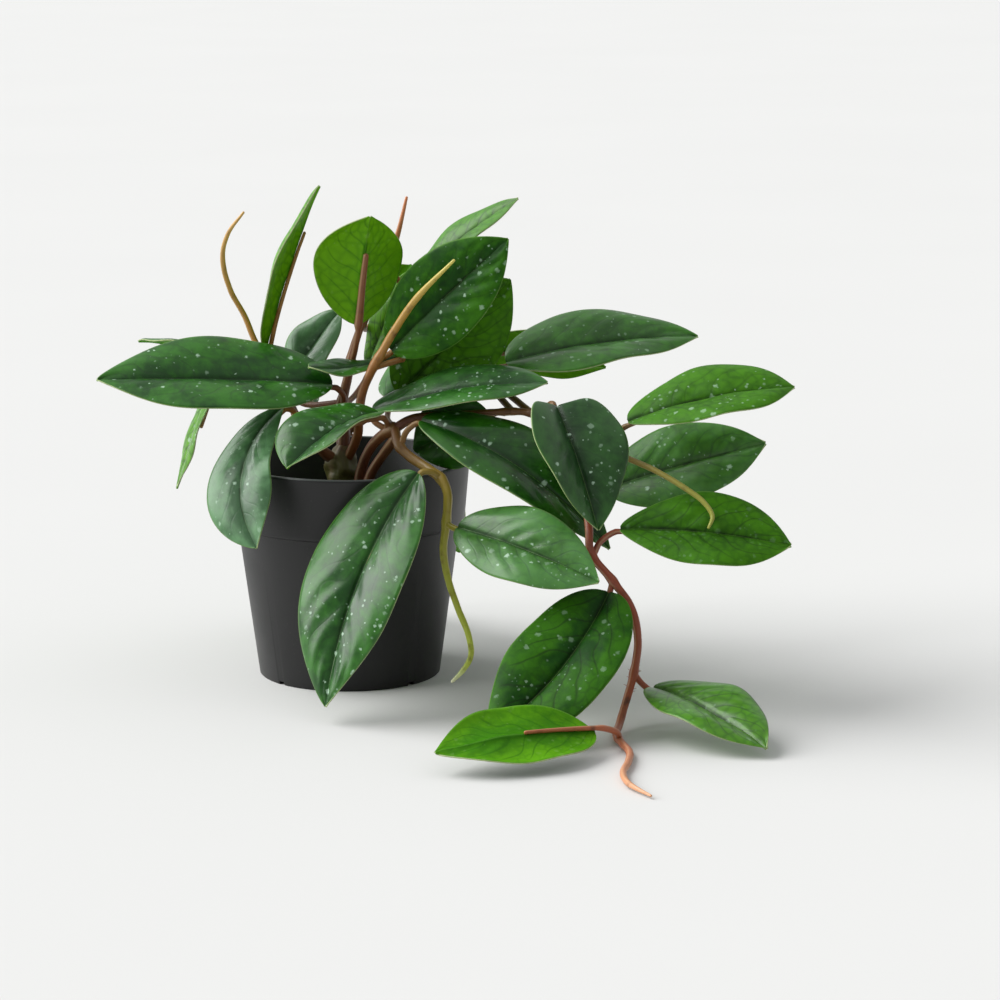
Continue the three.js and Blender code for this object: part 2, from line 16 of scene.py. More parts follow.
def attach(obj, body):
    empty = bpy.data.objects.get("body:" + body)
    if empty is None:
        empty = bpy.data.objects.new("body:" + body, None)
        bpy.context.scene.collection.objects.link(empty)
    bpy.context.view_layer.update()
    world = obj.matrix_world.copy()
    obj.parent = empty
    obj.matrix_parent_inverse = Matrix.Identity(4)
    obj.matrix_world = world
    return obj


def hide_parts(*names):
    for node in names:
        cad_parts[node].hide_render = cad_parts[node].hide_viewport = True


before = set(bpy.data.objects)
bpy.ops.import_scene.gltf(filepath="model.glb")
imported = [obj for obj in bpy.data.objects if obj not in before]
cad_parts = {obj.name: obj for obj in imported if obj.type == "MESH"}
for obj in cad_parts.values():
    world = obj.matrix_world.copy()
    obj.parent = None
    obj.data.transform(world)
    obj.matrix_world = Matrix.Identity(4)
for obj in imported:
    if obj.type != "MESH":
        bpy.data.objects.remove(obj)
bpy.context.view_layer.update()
MM = 0.001

# %% [markdown]
# ## The plan of the plant
# Two lists hold the plant's growth, in millimetres: the line that each stem follows with its
# radius at each point, and for each leaf where its petiole leaves the stem, where its midrib
# starts and ends, and which way its upper side faces. Every mesh below is worked out from them.

# %% Stems
STEMS = {
    "trunk": dict(
        line=[(-3, 0, 40), (-3, 0, 62), (-4, 1, 78), (-3, 0, 94), (-3, -1, 104), (-2, 0, 112)],
        radii=[6.4, 6.3, 6.4, 7, 8.3, 5]),
    "stem_left": dict(
        line=[(-3, -1, 104), (-13, -6, 113), (-20, -12, 124), (-24, -15, 130), (-29, -8, 139),
        (-38, 0, 153), (-46, 8, 165), (-51, 10, 177), (-58, 8, 191), (-61, 4, 207),
        (-58, 0, 219), (-50, -2, 230)],
        radii=[3, 2.8, 2.3, 2.1, 1.8, 1.6, 1.5, 1.4, 1.35, 1.25, 1.05, 0.6]),
    "stem_upright": dict(
        line=[(-2, 0, 108), (-2, -1, 125), (-3, -3, 134), (0, -2, 148), (2, 1, 159), (7, 7, 174),
        (16, 11, 193), (24, 15, 215), (29, 18, 235)],
        radii=[3.2, 2.7, 2.6, 2.3, 2.2, 1.8, 1.6, 1.4, 0.7]),
    "stem_upper": dict(
        line=[(-2, -2, 104), (5, -9, 121), (6, -15, 133), (8, -18, 144), (12, -21, 154),
        (18, -24, 165), (23, -26, 174), (35, -30, 192), (53, -36, 211)],
        radii=[2.4, 2.3, 2.3, 2.2, 2.2, 2.1, 2, 1.7, 0.7]),
    "stem_front": dict(
        line=[(4, -12, 40), (4, -13, 74), (5, -14, 94), (7, -15, 105), (11, -18, 115),
        (18, -25, 124), (24, -30, 128)],
        radii=[2.4, 2.4, 2.4, 2.5, 2.5, 2.6, 2.9],
        second=[(8, -18, 40), (8, -19, 75), (9, -20, 94), (12, -21, 104), (16, -23, 111),
        (24, -30, 123)],
        second_radii=[2.4, 2.4, 2.4, 2.4, 2.4, 2.5]),
    "stem_pendant": dict(
        line=[(24, -30, 128), (26, -40, 122), (31, -48, 118), (40, -59, 114), (47, -66, 110),
        (50, -70, 104), (50, -71, 97), (49, -71, 86), (48, -71, 77), (50, -71, 63),
        (55, -72, 48), (60, -73, 35), (61, -74, 25), (57, -75, 18), (52, -76, 13)],
        radii=[2.4, 2.3, 2.3, 2.3, 2.3, 2.2, 2.1, 2, 1.85, 1.75, 1.6, 1.5, 1.4, 1.25, 0.7]),
    "stem_right": dict(
        line=[(24, -30, 128), (33, -30, 133), (53, -32, 135), (72, -36, 137), (88, -42, 138),
        (104, -50, 133), (123, -58, 125), (136, -66, 120), (148, -74, 116), (162, -82, 109),
        (171, -87, 103), (175, -91, 97), (173, -94, 92)],
        radii=[2.4, 2.1, 1.8, 1.7, 1.7, 1.65, 1.55, 1.45, 1.35, 1.3, 1.2, 1, 0.6]),
    "stem_trailing": dict(
        line=[(104, -50, 133), (111, -58, 123), (115, -72, 106), (117, -84, 90), (118, -90, 79),
        (128, -95, 67), (137, -98, 54), (140, -100, 39), (138, -103, 24), (134, -109, 11),
        (131, -119, 4), (129, -132, 2.4), (131, -148, 2.3), (134, -164, 2.4),
        (133, -180, 2.3), (130, -198, 2.3), (132, -216, 2.2), (141, -233, 1.6)],
        radii=[2, 2, 2, 1.95, 1.95, 1.95, 1.9, 1.9, 1.9, 1.85, 1.85, 1.8, 1.8, 1.75, 1.7, 1.6,
            1.4, 0.6]),
    "stem_rear": dict(
        line=[(-3, 0, 104), (-4, 14, 113), (-4, 32, 119), (-5, 52, 121), (-6, 68, 114),
        (-8, 79, 96), (-10, 84, 72), (-8, 86, 48), (-4, 88, 30)],
        radii=[2.8, 2.5, 2.4, 2.3, 2.2, 2, 1.8, 1.5, 0.7]),
}

# %% [markdown]
# ## The plan of the leaves
# A leaf is given by its stem, the joint its petiole starts from, its base and tip, the way its
# upper side faces, and its width. Bow arches the midrib, fold lifts the two halves in degrees,
# and a few leaves have more: sway bends the midrib sideways, widest moves the broadest place,
# blunt and taper round or sharpen the two ends, heart draws the lobes back, and rib and
# rib_share set the rib beneath. Lengths are in millimetres.

# %% Leaves
COLUMNS = ("name", "stem", "joint", "base", "tip", "face", "width", "bow", "fold")
LEAF_ROWS = [
    ("01_left_large", "upright", (-3, -3, 134), (-7, -14, 147), (-120, -32, 152),
     (0, -0.5, 0.86), 56, 2, 8),
    ("02_left_behind", "left", (-42, 4, 159), (-59, 26, 152), (-107, 44, 159),
     (0, 0.2, 0.98), 36, 2, 6),
    ("03_left_upright", "left", (-31, -6, 142), (-41, 13, 160), (-13, 4, 242),
     (-1, 0.02, 0), 36, 2, 21, dict(blunt=0.9, taper=1.9, rib_share=0.72)),
    ("04_round_back", "upright", (2, 0, 156), (5, -4, 175), (12, -12, 229),
     (-0.4, 1, 0.15), 46, 2, 16, dict(widest=0.52, blunt=0.72, rib=2.1, rib_share=0.65)),
    ("05_behind_left", "upright", (-3, -2, 136), (-30, 18, 142), (-4, 24, 178),
     (-0.4, -0.7, 0.6), 28, 2, 8),
    ("06_behind_middle", "upright", (12, 9, 184), (11, 38, 170), (31, 42, 198),
     (0.3, 0.8, 0.3), 30, 1, 6),
    ("07_top_right_rear", "upright", (20, 13, 203), (32, 14, 194), (84, 10, 235),
     (-0.6, -0.3, 0.75), 32, 2, 6, dict(taper=2)),
    ("08_top_right", "upper", (16, -23, 162), (22, -8, 163), (79, -18, 219),
     (-0.15, -0.9, 0.3), 44, 3, 8),
    ("09_below_top_right", "front", (24, -30, 128), (25, 5, 139), (80, 13, 195),
     (0.1, -1, 0.12), 48, 3, 8),
    ("10_edge_on", "upright", (-3, -3, 134), (10, 17, 152), (30, 25, 197),
     (-0.75, -0.6, 0.3), 18, 1, 14),
    ("11_small_middle", "upper", (15, -22, 157), (24, -1, 158), (-18, -26, 157),
     (0, -0.26, 1), 20, -2.5, 4, dict(widest=0.62, blunt=1.2, taper=4)),
    ("12_front_left_fold", "front", (20, -28, 127), (17, -36, 136), (-26, -72, 116),
     (-0.15, -0.2, 0.97), 40, 5, 20, dict(widest=0.6, taper=3.2)),
    ("13_over_left_rim", "left", (-24, -15, 130), (-31, -24, 137), (-41, -70, 77),
     (-0.5, -0.75, 0.4), 36, 8, 3, dict(sway=11, widest=0.6, blunt=0.85)),
    ("14_low_left", "left", (-29, -8, 139), (-66, 8, 148), (-85, 2, 92),
     (-0.93, -0.18, 0.36), 30, 0, 4),
    ("15_front_large", "pendant", (47, -66, 110), (36, -72, 114), (-7, -108, 9),
     (-0.5, -0.7, 0.45), 57, 5, 6, dict(sway=6, taper=2.3)),
    ("16_middle_right", "front", (20, -28, 127), (13, -24, 136), (98, -34, 151),
     (0, -0.32, 0.95), 39, 4, 6, dict(widest=0.55)),
    ("17_dark_behind", "right", (77, -38, 137), (70, -28, 134), (33, -22, 116),
     (0, -0.9, 0.2), 36, 2, 6),
    ("18_long_drooping", "pendant", (27, -42, 121), (37, -42, 134), (127, -72, 77),
     (0.4, -0.6, 0.7), 44, 12, 8, dict(taper=2)),
    ("19_right_front", "right", (98, -47, 135), (102, -66, 145), (121, -94, 91),
     (0.52, -0.84, 0.26), 49, 4, 20, dict(sway=1, widest=0.32, blunt=0.35, taper=2, heart=2.2)),
    ("20_top_right_long", "right", (81, -40, 138), (78, 3, 155), (173, 14, 166),
     (0, -0.36, 0.93), 54, 4, 8, dict(widest=0.34, blunt=0.55)),
    ("21_under_top_right", "right", (90, -43, 138), (67, 36, 156), (128, 36, 147),
     (0, 0.8, 0.6), 34, 2, 6),
    ("22_far_right_upper", "right", (125, -59, 124), (136, -62, 137), (215, -60, 153),
     (0.1, -0.33, 0.94), 48, 4, 8, dict(widest=0.56)),
    ("23_far_right_behind", "right", (108, -52, 131), (126, -44, 101), (203, -44, 123),
     (0, -0.75, 0.6), 42, 2, 6),
    ("24_far_right_lower", "trailing", (119, -90, 78), (132, -82, 89), (212, -92, 83),
     (0.1, -0.65, 0.75), 44, 4, 8, dict(widest=0.52, blunt=0.8)),
    ("25_front_right", "pendant", (49, -71, 90), (55, -78, 89), (121, -113, 70),
     (0.05, -0.75, 0.65), 42, 4, 8),
    ("26_sloping_to_surface", "trailing", (128, -95, 67), (126, -99, 62), (68, -148, 3),
     (-0.1, -0.7, 0.7), 50, 5, 8, dict(sway=-8, blunt=0.5, taper=2.6)),
    ("27_resting_right", "trailing", (138, -103, 24), (147, -107, 18), (196, -168, 5),
     (0.1, -0.35, 0.93), 42, 4, 8),
    ("28_resting_left", "trailing", (130, -140, 2.4), (118, -160, 11), (46, -196, 11),
     (0, 0.42, -0.91), 42, -3, -4),
    ("29_rear_right", "rear", (-6, 68, 114), (6, 74, 99), (54, 82, 42),
     (0.3, 0.85, 0.4), 46, 6, 8),
    ("30_rear_left", "rear", (-8, 79, 96), (-18, 82, 93), (-54, 96, 34),
     (-0.3, 0.85, 0.4), 44, 6, 8),
    ("31_rear_low", "rear", (-10, 84, 72), (-2, 93, 62), (12, 124, 6),
     (0.1, 0.85, 0.5), 40, 5, 8),
    ("32_rear_left_high", "rear", (-4, 32, 119), (-18, 40, 128), (-94, 72, 138),
     (0, 0.1, 1), 46, 5, 8),
    ("33_rear_right_high", "rear", (-4, 20, 115), (18, 34, 132), (78, 92, 158),
     (0, 0.1, 1), 46, 5, 8),
]

# %% [markdown]
# ## What sets one leaf apart
# Leaves also differ in their skin. Light says how far the light behind a leaf turns it a
# brighter green, or below nothing how deep it lies in shade. The painted sheen is a pale film
# painted over a leaf for the window's shine on it, matt a dull skin, veined a plainer net of
# veins, and bare the share of flecks that are missing. Relief says how boldly the side veins
# are pressed, and furrow how deep the midrib lies: 1 is usual.
# The frame calls six of the leaves light leaves.

# %% Skins
LOOKS = dict(
    light={"03": 1.0, "04": 0.9, "06": 0.25, "07": 0.45, "09": 0.55, "10": 1.0, "14": 0.8,
           "18": -0.35, "19": -0.4, "20": 0.1, "21": 0.5, "22": 0.35, "23": 0.3, "24": 0.3,
           "25": 0.25, "26": -0.05, "27": 0.5},
    # the pale film painted on these leaves for the window's shine on them
    painted_sheen={"05": 0.4, "13": 0.42, "15": 0.04, "16": 0.06, "19": 0.06, "23": 0.12, "25": 0.18},
    matt={"01": 0.2, "07": 0.6, "08": 0.6, "09": 0.4, "10": 0.5, "22": 0.3, "23": 0.5,
          "24": 0.6, "26": 0.6},
    veined={"04": 0.1, "20": -0.1, "22": -0.12, "24": 0.1, "26": 0.3, "28": 0.5},
    bare={"07": 1.0, "20": 0.3, "24": 0.8, "26": 0.4, "27": 0.75},
)
RELIEF = {"05": 0.3, "08": 1.7, "09": 1.3, "13": 0.35, "15": 2.2, "18": 1.4, "19": 1.3,
          "22": 0.45, "25": 0.9, "26": 0.6}
FURROW = {"08": 0.3, "13": 0.3, "15": 2.0, "18": 1.2, "26": 1.5, "27": 1.3}
LIGHT_LEAVES = ("03", "04", "06", "07", "10", "14")
DULL_LEAVES = ("08", "09", "22", "24", "26")
USUAL = dict(widest=0.44, blunt=0.6, taper=2.4, sway=0, heart=0, rib=1.15, rib_share=0.45)


def leaf_from(row):
    leaf = USUAL | dict(zip(COLUMNS, row), **dict(*row[len(COLUMNS):]))
    number = leaf["number"] = leaf["name"][:2]
    for look, table in LOOKS.items():
        leaf[look] = table.get(number, 0.0)
    leaf["relief"], leaf["furrow"] = RELIEF.get(number, 1.0), FURROW.get(number, 1.0)
    leaf["slot"] = "light_leaf" if number in LIGHT_LEAVES else "dark_leaf"
    return leaf


LEAVES = [leaf_from(row) for row in LEAF_ROWS]
print(len(STEMS), "stems,", len(LEAVES), "leaves")

# %% [markdown]
# ## Smooth lines through points
# A stem is drawn as a centripetal spline: it passes through every point and never loops back
# on itself, even where points lie close together. The same spline made the frame, so the
# finer stems fall exactly on the measured ones.

# %% The spline
def spline_point(p0, p1, p2, p3, t):
    d0, d1, d2 = [max((b - a).length, 1e-6) ** 0.5 for a, b in ((p0, p1), (p1, p2), (p2, p3))]
    start = ((p1 - p0) / d0 - (p2 - p0) / (d0 + d1) + (p2 - p1) / d1) * d1
    end = ((p2 - p1) / d1 - (p3 - p1) / (d1 + d2) + (p3 - p2) / d2) * d1
    square = 3 * (p2 - p1) - 2 * start - end
    cube = 2 * (p1 - p2) + start + end
    return p1 + start * t + square * t * t + cube * t**3


def smooth_line(points, radii, step):
    """(point, radius, share of the length) every step mm along the spline."""
    knots = [Vector(p) for p in points]
    knots = [2 * knots[0] - knots[1], *knots, 2 * knots[-1] - knots[-2]]
    line = []
    for i in range(len(points) - 1):
        count = max(2, round((knots[i + 2] - knots[i + 1]).length / step))
        for j in range(count):
            t = j / count
            radius = radii[i] * (1 - t) + radii[i + 1] * t
            line.append((spline_point(*knots[i : i + 4], t), radius))
    line.append((knots[-2], radii[-1]))
    far = [0.0]
    for (a, _), (b, _) in zip(line, line[1:]):
        far.append(far[-1] + (b - a).length)
    return [(p, r, f / far[-1]) for (p, r), f in zip(line, far)]


STATION = 1.3  # mm from one station of a stem to the next
trailing = smooth_line(*STEMS["stem_trailing"].values(), STATION)
print("the trailing stem takes", len(trailing), "stations")

# %% [markdown]
# ## Tubes with seams and knots
# Moulded stems are never clean cylinders. They swell where a leaf joins, wobble a little, and
# carry the mould's parting line as a fine ridge down both sides. Each tube starts as a circle
# that is extruded from station to station, and both ends close in a small dome. Two numbers
# are stored at every corner for the colours: how far along it is, and whether it is on a seam.

# %% Tubes
KNOT_SWELL, KNOT_REACH = 0.22, 2.6  # a joint swells the stem by a fifth, over 2.6 mm
SEAM_RIDGE = 0.1  # mm
WOBBLE, WOBBLE_SIZE = 0.07, 0.16  # a share of the radius, and waves per mm
DOME = [(0.7, 0.3), (0.4, 0.75)]  # how far out and how wide the rings of a rounded end are


def rounded_ends(line):
    (p0, r0, s0), (p1, _, _) = line[0], line[1]
    (q0, t0, u0), (q1, _, _) = line[-1], line[-2]
    back, on = (p0 - p1).normalized(), (q0 - q1).normalized()
    head = [(p0 + back * r0 * far, r0 * wide, s0) for far, wide in DOME]
    tail = [(q0 + on * t0 * far, t0 * wide, u0) for far, wide in reversed(DOME)]
    return head + line + tail


def ring_directions(line):
    """Two directions across the tube at every station, carried along without twisting."""
    side = (line[1][0] - line[0][0]).orthogonal().normalized()
    for i in range(len(line)):
        before, after = line[max(i - 1, 0)][0], line[min(i + 1, len(line) - 1)][0]
        ahead = (after - before).normalized()
        side = (side - ahead * side.dot(ahead)).normalized()
        yield side, ahead.cross(side)


def add_tube(bm, line, sides, knots=(), tones=(0.0, 1.0), ridge=SEAM_RIDGE, wobble=WOBBLE):
    tone_layer = bm.verts.layers.float["tone"]
    seam_layer = bm.verts.layers.float["seam"]
    line = rounded_ends(line)
    ring = bmesh.ops.create_circle(bm, cap_ends=True, segments=sides, radius=1.0)["verts"]
    edges = list({e for v in ring for e in v.link_edges})
    for i, ((p, radius, share), (right, up)) in enumerate(zip(line, ring_directions(line))):
        if i:
            new = bmesh.ops.extrude_edge_only(bm, edges=edges)["geom"]
            fresh = {g for g in new if isinstance(g, bmesh.types.BMVert)}
            edges = [g for g in new if isinstance(g, bmesh.types.BMEdge)]
            edges = [e for e in edges if e.verts[0] in fresh and e.verts[1] in fresh]
            ring = [next(e.other_vert(v) for e in v.link_edges if e.other_vert(v) in fresh)
                    for v in ring]
        near = sum(math.exp(-(((p - knot).length / KNOT_REACH) ** 2)) for knot in knots)
        for j, v in enumerate(ring):
            angle = math.tau * j / sides
            outward = right * math.cos(angle) + up * math.sin(angle)
            seam = 1.0 if j % (sides // 2) == 0 else 0.0
            bump = wobble * noise.noise(p * WOBBLE_SIZE + outward * (3 * wobble + 0.5))
            reach = radius * (1 + KNOT_SWELL * min(near, 1) + bump) + ridge * seam * min(1, radius)
            v.co = (p + outward * reach) * MM
            v[tone_layer] = tones[0] + (tones[1] - tones[0]) * share
            v[seam_layer] = seam
    bmesh.ops.contextual_create(bm, geom=edges)


def new_tubes():
    bm = bmesh.new()
    bm.verts.layers.float.new("tone")
    bm.verts.layers.float.new("seam")
    return bm


# %% [markdown]
# ## Handing a piece over
# Every finished mesh goes through one door: unless asked not to, its faces are turned outwards;
# it is smoothed, tied to the plant, and it stands in for the frame's piece.

# %% Piece
scene = bpy.context.scene
PIECES = bpy.data.collections.new("looks")
scene.collection.children.link(PIECES)


def placed(name, data, where=scene.collection):
    thing = bpy.data.objects.new(name, data)
    where.objects.link(thing)
    return thing


def mesh_from(bm, name):
    mesh = bpy.data.meshes.new(name)
    bm.to_mesh(mesh)
    bm.free()
    return mesh


def hand_over(bm, name, slot, node, turn_out=True):
    if turn_out:
        bmesh.ops.recalc_face_normals(bm, faces=bm.faces[:])
    mesh = mesh_from(bm, name)
    mesh.polygons.foreach_set("use_smooth", [True] * len(mesh.polygons))
    piece = placed(name, mesh, PIECES)
    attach(piece, "root")
    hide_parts(node)
    return piece


# %% [markdown]
# ## The leaf's form
# Hoya leaves are thick and stiff, with a rounded base and a drawn-out point. The midrib arches,
# the two halves fold up a little like a shallow boat, and each half bulges between midrib and
# edge. A point of the sheet is found from two shares: s along the midrib and t across it.

# %% Leaf form
ROOT, TIP, SHOULDER = 2.6, 0.9, 1.8  # the widths where the outline ends, and its fullness
PUFF, WAVE = 0.1, 0.8  # the bulge as a share of half the width, and the rim's wave in mm
LOBE = 0.06  # where the lobes of a heart-shaped base reach furthest back
STEP = 0.01  # a small step along either share, to measure a slope


def leaf_axes(leaf):
    base, tip = Vector(leaf["base"]), Vector(leaf["tip"])
    chord = tip - base
    forward = chord.normalized()
    up = Vector(leaf["face"])
    up = (up - forward * up.dot(forward)).normalized()
    return base, chord, up, forward.cross(up)


def midrib(leaf, axes, s):
    base, chord, up, right = axes
    arch = 4 * s * (1 - s)
    return base + chord * s + up * leaf["bow"] * arch + right * leaf["sway"] * arch


def midrib_frame(leaf, axes, s):
    ahead = (midrib(leaf, axes, s + STEP) - midrib(leaf, axes, s - STEP)).normalized()
    up = axes[2] - ahead * axes[2].dot(ahead)
    return ahead, up.normalized()


def half_width(leaf, s):
    widest = leaf["widest"]
    if s < widest:
        share = (1 - min(1, (widest - s) / widest) ** SHOULDER) ** leaf["blunt"]
        stub = ROOT
    else:
        share = 1 - ((s - widest) / (1 - widest)) ** leaf["taper"]
        stub = TIP
    return stub / 2 + (leaf["width"] - stub) / 2 * share


def sheet_point(leaf, axes, s, t):
    ahead, up = midrib_frame(leaf, axes, s)
    half, side = half_width(leaf, s), abs(t)
    lift = math.tan(math.radians(leaf["fold"])) * side + PUFF * 4 * side * (1 - side)
    wave = WAVE * side * side * math.sin(4 * math.pi * s + (0.6 if t > 0 else 2.2))
    ripe = max(0.0, s / LOBE)
    back = leaf["heart"] * side * side * ripe * math.exp(1 - ripe)
    spine = midrib(leaf, axes, s) - ahead * back
    return spine + ahead.cross(up) * half * t + up * (half * lift + wave)


print("widest leaf is", max(leaf["width"] for leaf in LEAVES), "mm across")

# %% [markdown]
# ## What the press leaves in the sheet
# Seen close, the sheet isn't smooth: the midrib is a sharp crease that is deepest in the middle
# of the leaf, soft pillows lie between the side veins, and the whole blade is a little uneven.
# These are moved in the mesh, so that the light rolls over them as on the real leaf.

# %% Pressed detail
VEINS = 7  # pairs of side veins
VEIN_LEAN, VEIN_CURVE = 2.3, 1.2  # how far forward a side vein runs, and how it curves
PILLOW, CREASE, CREASE_WIDTH, UNEVEN = 0.36, 0.6, 1.2, 0.7  # mm
WRINKLE, WRINKLE_LONG, WRINKLE_WIDE = 0.3, 9.0, 4.5  # mm: height and size of the fine wrinkles
FULL_WIDTH = 40  # mm: on narrower leaves all of this is shallower


def vein_phase(s, t):
    """Grows by one from each side vein to the next; the right side is half a step ahead."""
    return VEINS * s - VEIN_LEAN * abs(t) ** VEIN_CURVE + (0.5 if t > 0 else 0.0)


def uneven(s, t, seed, size):
    """Slow random hills over the sheet, from -1 to 1."""
    return noise.noise(Vector((s * size[0], t * size[1], seed)))


def pressed(leaf, seed, s, t):
    """How far the sheet stands above its smooth form, in mm."""
    half, side = half_width(leaf, s), abs(t)
    ends = math.sin(math.pi * min(1, s * 1.05)) ** 0.6
    inner = max(0.0, 1 - side) ** 0.7 * min(1, side * 6) * ends
    strength = max(0.0, 0.45 + 1.6 * uneven(s, t, seed, (3, 1.4)))
    ripple = -math.cos(math.tau * (vein_phase(s, t) - 0.5))
    pillow = ripple * PILLOW * leaf["relief"] * inner * strength
    depth = CREASE * math.exp(-(((s - 0.55) / 0.28) ** 2)) + 0.25 * max(0, 1 - s * 1.3)
    crease = -depth * leaf["furrow"] * math.exp(-((half * t / CREASE_WIDTH) ** 2))
    hills = UNEVEN * uneven(s, t, seed + 40, (4.2, 1.8)) * min(1, 4 * s)
    length = (Vector(leaf["tip"]) - Vector(leaf["base"])).length
    lean = s * length - 0.8 * half * side
    place = Vector((lean / WRINKLE_LONG, half * t / WRINKLE_WIDE, seed + 80))
    wrinkle = WRINKLE * noise.noise(place) * min(1, 3 * side) * inner
    return (pillow + crease + wrinkle + hills) * min(1, leaf["width"] / FULL_WIDTH)


# %% [markdown]
# ## Leaves as meshes
# A flat grid is laid over the two shares and every corner moved to its place. Two maps go with
# it: one holds the shares, for things that follow the outline, and one holds millimetres, for
# things of a fixed size such as flecks. A Solidify modifier gives the sheet its thickness and
# three finishes: upper side, underside and the pale cut edge.

# %% Leaf mesh
ALONG, ACROSS = 80, 44
SHEET = 0.6 * MM
CROWDING = 0.45  # rows crowd towards base and tip, where the outline turns
MIDRIB_CROWDING = 0.4


def crowded(share):
    return share + CROWDING * (0.5 - 0.5 * math.cos(math.pi * share) - share)


def crowded_across(share):
    """Columns crowd towards the midrib, where the furrow is narrow."""
    return share * abs(share) ** MIDRIB_CROWDING


def leaf_mesh(leaf, seed):
    axes = leaf_axes(leaf)
    bm = bmesh.new()
    share_map = bm.loops.layers.uv.new("shares")
    size_map = bm.loops.layers.uv.new("size")
    seed_layer = bm.verts.layers.float.new("seed")
    looks = {name: bm.verts.layers.float.new(name) for name in LOOKS}
    bmesh.ops.create_grid(bm, x_segments=ALONG, y_segments=ACROSS, size=0.5)
    place = {}
    for v in bm.verts:
        s, t = crowded(v.co.x + 0.5), crowded_across(-2 * v.co.y)
        place[v] = (s, t)
        middle = sheet_point(leaf, axes, s, t)
        down = sheet_point(leaf, axes, s + STEP, t) - sheet_point(leaf, axes, s - STEP, t)
        over = sheet_point(leaf, axes, s, t + STEP) - sheet_point(leaf, axes, s, t - STEP)
        normal = over.cross(down).normalized()
        v.co = (middle + normal * pressed(leaf, seed, s, t)) * MM
        v[seed_layer] = seed
        for name, layer in looks.items():
            v[layer] = leaf[name]
    length = axes[1].length
    for face in bm.faces:
        for loop in face.loops:
            s, t = place[loop.vert]
            loop[share_map].uv = (s, 0.5 + 0.5 * t)
            loop[size_map].uv = (s * length, half_width(leaf, s) * t)
    return bm


# %% [markdown]
# ## Small tools for finishes
# A finish is a small network of steps, and n stands for the network that is being built. Each
# call puts in one step, joins it to what comes before and gives back what comes out of it, so
# that a finish reads from top to bottom.

# %% Steps of a finish
def colour(red, green, blue):
    """A colour given as it looks on a screen, 0 to 255, turned into light."""
    return tuple(((c / 255 + 0.055) / 1.055) ** 2.4 if c > 10 else c / 3295
                 for c in (red, green, blue))


class Steps:
    def __init__(self, tree):
        self.tree = tree

    def feed(self, socket, value):
        if isinstance(value, bpy.types.NodeSocket):
            self.tree.links.new(value, socket)
        elif isinstance(value, tuple) and len(value) == 3 and socket.type == "RGBA":
            socket.default_value = (*value, 1.0)
        else:
            socket.default_value = value

    def fill(self, node, inputs):
        for key, value in inputs.items():
            self.feed(node.inputs[key.replace("_", " ")], value)

    def add(self, kind, settings=None, **inputs):
        node = self.tree.nodes.new("ShaderNode" + kind)
        for key, value in (settings or {}).items():
            setattr(node, key, value)
        self.fill(node, inputs)
        return node

    def sums(self, operation, a, b=0.0):
        node = self.add("Math", {"operation": operation})
        self.feed(node.inputs[0], a)
        self.feed(node.inputs[1], b)
        return node.outputs[0]

    def plus(self, a, b):
        return self.sums("ADD", a, b)

    def minus(self, a, b):
        return self.sums("SUBTRACT", a, b)

    def times(self, a, b):
        return self.sums("MULTIPLY", a, b)

    def size_of(self, a):
        return self.sums("ABSOLUTE", a)

    def between(self, value, low, high, to_low=0.0, to_high=1.0):
        """A soft step: to_low where value is low, to_high where it is high."""
        return self.add("MapRange", {"interpolation_type": "SMOOTHSTEP"}, Value=value,
                        From_Min=low, From_Max=high, To_Min=to_low,
                        To_Max=to_high).outputs["Result"]

    def blend(self, share, a, b):
        node = self.add("Mix", {"data_type": "RGBA"})
        for place, value in ((0, share), (6, a), (7, b)):
            self.feed(node.inputs[place], value)
        return node.outputs[2]

    def ramp(self, share, marks):
        """Colours one after another, each with the share where it is pure."""
        node = self.add("ValToRGB", Fac=share)
        elements = node.color_ramp.elements
        while len(elements) < len(marks):
            elements.new(0.5)
        for element, (at, *hue) in zip(elements, marks):
            element.position, element.color = at, (*colour(*hue), 1.0)
        return node.outputs["Color"]

    def clouds(self, place, scale, detail):
        return self.add("TexNoise", Vector=place, Scale=scale, Detail=detail).outputs["Fac"]

    def place(self):
        return self.add("TexCoord").outputs["Object"]

    def stored(self, name):
        return self.add("Attribute", {"attribute_name": name}).outputs["Fac"]

    def bump(self, strength, depth, height):
        """Small relief, depth in mm."""
        return self.add("Bump", Strength=strength, Distance=depth * MM,
                        Height=height).outputs["Normal"]

    def skin(self, **inputs):
        """Joins the steps to the finish's own shader."""
        self.fill(self.tree.nodes["Principled BSDF"], inputs)


def new_finish(name):
    finish = bpy.data.materials.new(name)
    finish.use_nodes = True
    return finish, Steps(finish.node_tree)


# %% [markdown]
# ## What is printed on a leaf
# The silvery flecks come in three sizes and in clusters. Each size is a grid of cells of which
# some hold a soft, ragged spot, and more of them do where a slow cloud of noise is bright.

# %% Flecks
# the size of a fleck's cell in mm, where clusters begin and are full, the share of cells that
# hold a fleck outside and inside a cluster, and how far a fleck reaches in its cell
FLECK_SIZES = [(4.6, (0.36, 0.6, 0.16, 0.75), 0.33), (2.6, (0.4, 0.64, 0.05, 0.42), 0.36),
               (1.4, (0.4, 0.7, 0.0, 0.1), 0.4)]


